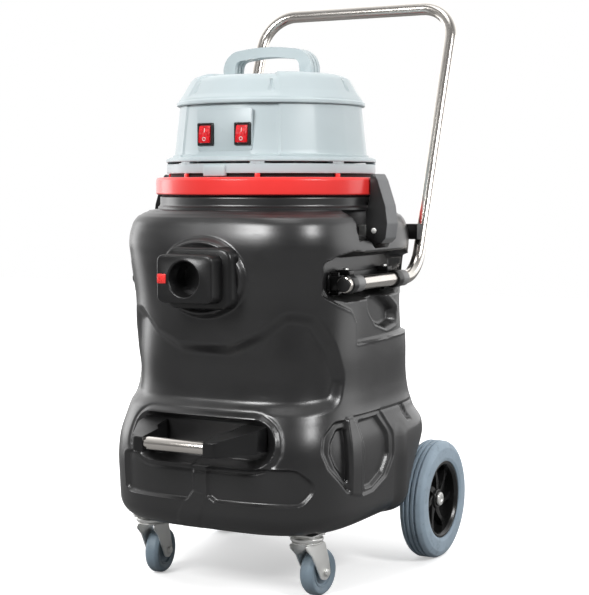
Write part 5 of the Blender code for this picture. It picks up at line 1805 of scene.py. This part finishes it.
@dataclass
class RearWheels(Assembly):
    """The two tyred wheels at the back, their spoked hubs and caps."""

    body: str = "trolley"
    x: float = 0.207
    y: float = 0.205
    radius: float = 0.1015
    half: float = 0.0225
    hub_radius: float = 0.0665
    spokes: int = 7
    groove_depth: float = 0.0042

    def build(self) -> None:
        """Build both wheels."""
        for side, sign in SIDES:
            spot = (sign * self.x, AXIS[1] + self.y, self.radius)
            body = "rear_wheel_" + side
            self.piece("tyre_" + side, self.tyre(), Finish.TYRE, ["rear_tyre_" + side], spot, body)
            self.piece("spoked_hub_" + side, self.hub(), Finish.HUB, ["rear_hub_" + side], spot, body, 40)
            cap = rounded([
                (0, 0.0105, 0), (0.0112, 0.0105, 0), (0.0120, 0.0125, 0.001), (0.0110, 0.0150, 0.0015),
                (0.0050, 0.0155, 0.0008), (0.0042, 0.0145, 0.0005), (0, 0.0145, 0)], False)
            shape = lathe([(radius, sign * station) for radius, station in cap], 48, Axis.X)
            self.piece("hub_cap_" + side, shape, Finish.ZINC, ["axle_cap_" + side], spot, body)

    def tyre(self) -> Shape:
        """A solid tyre with three grooves in its tread.

        Returns:
            The tyre.
        """
        half, big, hub, deep = self.half, self.radius, self.hub_radius, self.radius - self.groove_depth
        face = [(hub + 0.0003, -half + 0.002, 0.001), (hub + 0.006, -half, 0.003),
                (big - 0.012, -half, 0.004), (big - 0.0035, -half + 0.004, 0.006),
                (big, -half + 0.0105, 0.003)]
        grooves: list[Spot] = []
        for station in (-0.0085, 0.0, 0.0085):
            grooves += [(big, station - 0.0020, 0.0004), (deep, station - 0.0012, 0.0003),
                        (deep, station + 0.0012, 0.0003), (big, station + 0.0020, 0.0004)]
        return lathe(rounded(face + grooves + mirrored(face), steps=4), 160, Axis.X)

    def hub(self) -> Shape:
        """Rim, boss, thin web and curved spokes of one hub.

        Returns:
            The hub.
        """
        edge, step, hub = self.half - 0.003, self.half - 0.008, self.hub_radius
        rim = lathe(rounded([
            (hub, -edge, 0.0015), (hub, edge, 0.0015), (0.0620, edge, 0.002), (0.0585, step, 0.003),
            (0.0585, -step, 0.003), (0.0620, -edge, 0.002)]), 120, Axis.X)
        boss = lathe(rounded([(0.0083, -0.012, 0.0005), (0.0165, -0.012, 0.002), (0.0185, 0.0, 0.003),
                              (0.0165, 0.0102, 0.002), (0.0083, 0.0102, 0.0005)]), 72, Axis.X)
        web = lathe([(0.017, -0.0065), (0.0590, -0.0065), (0.0590, -0.0035), (0.017, -0.0035)], 96, Axis.X)
        shapes = [rim, boss]
        for count in range(self.spokes):
            edges: list[list[Flat]] = [[], []]
            for k in range(9):
                share = k / 8.0
                reach = 0.0150 + 0.0455 * share
                curl = 0.55 * math.sin(share * math.pi * 0.5)
                width = 0.0036 + 0.0040 * (2.0 * share - 1.0) ** 2
                for edge_points, way in zip(edges, (-1.0, 1.0)):
                    angle = curl + way * width / reach
                    edge_points.append((reach * math.cos(angle), reach * math.sin(angle)))
            outline = edges[0] + edges[1][::-1]
            spoke = slab(outline, -0.0060, 0.0065, Axis.X, 0.0016, 3)
            shapes.append(moved(spoke, turn=360.0 / self.spokes * (count + 0.3), about="X"))
        return merge(*shapes, web)


# ---------------- inside the tank and the head
@dataclass
class Interior(Assembly):
    """Filter, float, motors and foam, which show when the head is lifted."""

    body: str = "head"
    bag_top: float = 0.646
    bag_bottom: float = 0.425
    pleats: int = 36

    def build(self) -> None:
        """Build the filter and the foam, and dress the rest."""
        self.filter_bag()
        self.foam_ring()
        self.keep("float_cage", Finish.CAN)
        self.keep("float_ball", Finish.FLOAT)
        for side, _ in SIDES:
            self.keep("motor_can_" + side, Finish.CAN)
            self.keep("motor_fan_" + side, Finish.ALLOY)

    def filter_bag(self) -> None:
        """A felt bag with soft lengthwise folds, a sewn seam and a stiff rim."""
        steps = 216
        low, high = self.bag_bottom, self.bag_top
        spine = rounded([
            (0.012, low, 0), (0.105, low, 0.012), (0.127, low + 0.028, 0.02), (0.1335, high - 0.008, 0.004),
            (0.1670, high - 0.0045, 0.001), (0.1670, high, 0.001), (0.129, high - 0.001, 0.004),
            (0.122, low + 0.029, 0.02), (0.101, low + 0.004, 0.012), (0.012, low + 0.004, 0)], False, 6)
        rings = [spot for start, end in zip(spine, spine[1:]) for spot in stretch(start, end, 0.010)]
        loops = []
        for radius, height in rings:
            wave = float(smooth_step(np.array((high - 0.02 - height) / 0.08)))
            wave *= float(smooth_step(np.array((radius - 0.05) / 0.05)))
            loop = []
            for step in range(steps):
                angle = 2.0 * math.pi * step / steps
                fold = 0.0011 * math.cos(self.pleats * angle) + 0.0008 * math.sin(7.0 * angle + height * 40.0)
                seam = 0.0012 * math.exp(-((angle - math.pi) / 0.02) ** 2)
                reach = radius + wave * (fold - 0.0015) + seam * wave
                loop.append((reach * math.sin(angle), -reach * math.cos(angle), height))
            loops.append(loop)
        self.piece("felt_bag", loft(loops), Finish.FELT, ["filter_bag"], crease=60)

    def foam_ring(self) -> None:
        """The sound foam's ring, with a convoluted inner face."""
        steps, rows, waves = 240, 24, 40
        low, high = 0.6904, 0.752
        angles = [2.0 * math.pi * step / steps for step in range(steps)]
        outer, inner = [], []
        for row in range(rows + 1):
            z = low + (high - low) * row / rows
            swell = 0.0022 * math.sin(math.pi * row / 3.0) if 0 < row < rows else 0.0
            outer.append([(0.1408 * math.sin(a), -0.1408 * math.cos(a), z) for a in angles])
            radii = [0.1325 + swell * math.sin(waves * a) for a in angles]
            inner.append([(r * math.sin(a), -r * math.cos(a), z) for r, a in zip(radii, angles)])
        rings = outer + inner[::-1]
        shape = loft(rings + [rings[0]], False, False)
        bmesh.ops.remove_doubles(shape, verts=shape.verts, dist=1e-6)
        foam = self.piece("foam_ring", shape, Finish.FOAM, ["sound_foam"], crease=60)


# ---------------- studio
@dataclass(frozen=True)
class SoftBox:
    """One rectangular studio light aimed at a point."""

    name: str
    place: Spot
    aim: Spot
    size: Flat
    power: float

    def hang(self) -> None:
        """Put the light in the scene."""
        lamp = bpy.data.lights.new(self.name, "AREA")
        lamp.shape = "RECTANGLE"
        lamp.size, lamp.size_y = self.size
        lamp.energy = self.power
        made = bpy.data.objects.new(self.name, lamp)
        made.location = self.place
        made.rotation_euler = (Vector(self.aim) - Vector(self.place)).to_track_quat("-Z", "Y").to_euler()
        bpy.context.scene.collection.objects.link(made)


@dataclass
class Studio:
    """Pale floor, white surroundings, soft boxes and the camera."""

    eye: Spot = (1.23838, -2.1783, 0.6439)
    target: Spot = (0.01187, 0.0432, 0.4547)
    lens: float = 90.407
    sensor: float = 36.0
    floor_half: float = 6.0
    surround: float = 1.5      # glow of the surroundings behind the machine
    dim: float = 0.15          # and on the camera's side
    floor_glow: float = 0.42
    boxes: tuple[SoftBox, ...] = (
        SoftBox("box_front", (-0.38, -2.05, 1.68), (0.0, -0.1, 0.58), (0.95, 0.70), 44.0),
        SoftBox("box_side", (1.95, -0.62, 1.68), (0.1, 0.0, 0.55), (0.60, 0.75), 30.0),
        SoftBox("box_top", (0.1, -0.3, 2.7), (0.0, -0.1, 0.5), (1.1, 0.8), 8.0),
        SoftBox("box_left", (-2.1, 0.1, 0.7), (0.0, 0.0, 0.40), (0.8, 1.4), 8.0),
        SoftBox("box_right", (1.9, 1.3, 0.8), (0.0, 0.0, 0.40), (1.3, 1.5), 8.0),
    )

    def build(self) -> None:
        """Set the stage."""
        self.floor()
        self.world()
        for soft_box in self.boxes:
            soft_box.hang()
        self.camera()
        settings = bpy.context.scene.view_settings
        settings.view_transform = "Standard"
        settings.look = "None"

    def floor(self) -> None:
        """A wide pale floor with a faint mottle."""
        mesh = bpy.data.meshes.new("floor")
        h = self.floor_half
        mesh.from_pydata([(-h, -h, 0), (h, -h, 0), (h, h, 0), (-h, h, 0)], [], [(0, 1, 2, 3)])
        made = bpy.data.objects.new("floor", mesh)
        material, sheet, shader = start_material("floor_paper")
        tone = sheet.mix(sheet.noise(3.0, 2.0, sheet.place()), (0.93, 0.93, 0.93, 1), (0.95, 0.95, 0.95, 1))
        seen = sheet.add("LightPath").outputs["Is Camera Ray"]
        sheet.feed(shader.inputs["Base Color"], sheet.mix(seen, (0.24, 0.24, 0.24, 1.0), tone))
        shader.inputs["Roughness"].default_value = 0.9
        shader.inputs["Specular IOR Level"].default_value = 0.1
        away = sheet.add("VectorMath", {0: sheet.place()}, operation="LENGTH")
        glow = sheet.math("MULTIPLY", seen, sheet.band(away.outputs["Value"], 0.4, 2.2, self.floor_glow, 1.0))
        sheet.feed(shader.inputs["Emission Color"], sheet.mix(glow, (0, 0, 0, 1), (1, 1, 1, 1)))
        shader.inputs["Emission Strength"].default_value = 1.0
        mesh.materials.append(material)
        bpy.context.scene.collection.objects.link(made)

    def world(self) -> None:
        """Even white surroundings."""
        world = bpy.data.worlds.new("surroundings")
        world.use_nodes = True
        sheet = Sheet(world.node_tree)
        backdrop = world.node_tree.nodes["Background"]
        way = sheet.add("TexCoord").outputs["Generated"]
        behind = (Vector(self.target) - Vector(self.eye)).normalized()
        facing = sheet.add("VectorMath", {0: way, 1: tuple(behind)}, operation="DOT_PRODUCT")
        glow = sheet.band(facing.outputs["Value"], -0.5, 0.9, self.dim, self.surround)
        path = sheet.add("LightPath")
        unseen = sheet.math("SUBTRACT", 1.0, path.outputs["Is Camera Ray"])
        seen = sheet.math("MULTIPLY_ADD", unseen, glow, path.outputs["Is Camera Ray"])
        backdrop.inputs["Color"].default_value = (1.0, 1.0, 1.0, 1.0)
        sheet.feed(backdrop.inputs["Strength"], seen)
        bpy.context.scene.world = world

    def camera(self) -> None:
        """Stand the camera at its eye, level and aimed at the target."""
        data = bpy.data.cameras.new("camera")
        data.lens = self.lens
        data.sensor_width = self.sensor
        made = bpy.data.objects.new("camera", data)
        made.location = self.eye
        made.rotation_euler = (Vector(self.target) - Vector(self.eye)).to_track_quat("-Z", "Y").to_euler()
        bpy.context.scene.collection.objects.link(made)
        bpy.context.scene.camera = made


def main() -> None:
    """Build the machine and its studio in order."""
    logging.basicConfig(level=logging.INFO, format="%(name)s %(message)s")
    Studio().build()
    for assembly in (Tank(), Inlet(), PushHandle(), TipHandle(), Latches(), MotorHead(), Switches(),
                     Castors(), RearWheels(), Interior()):
        assembly.build()
        LOG.info("%s done", type(assembly).__name__)


if __name__ == "__main__":
    main()
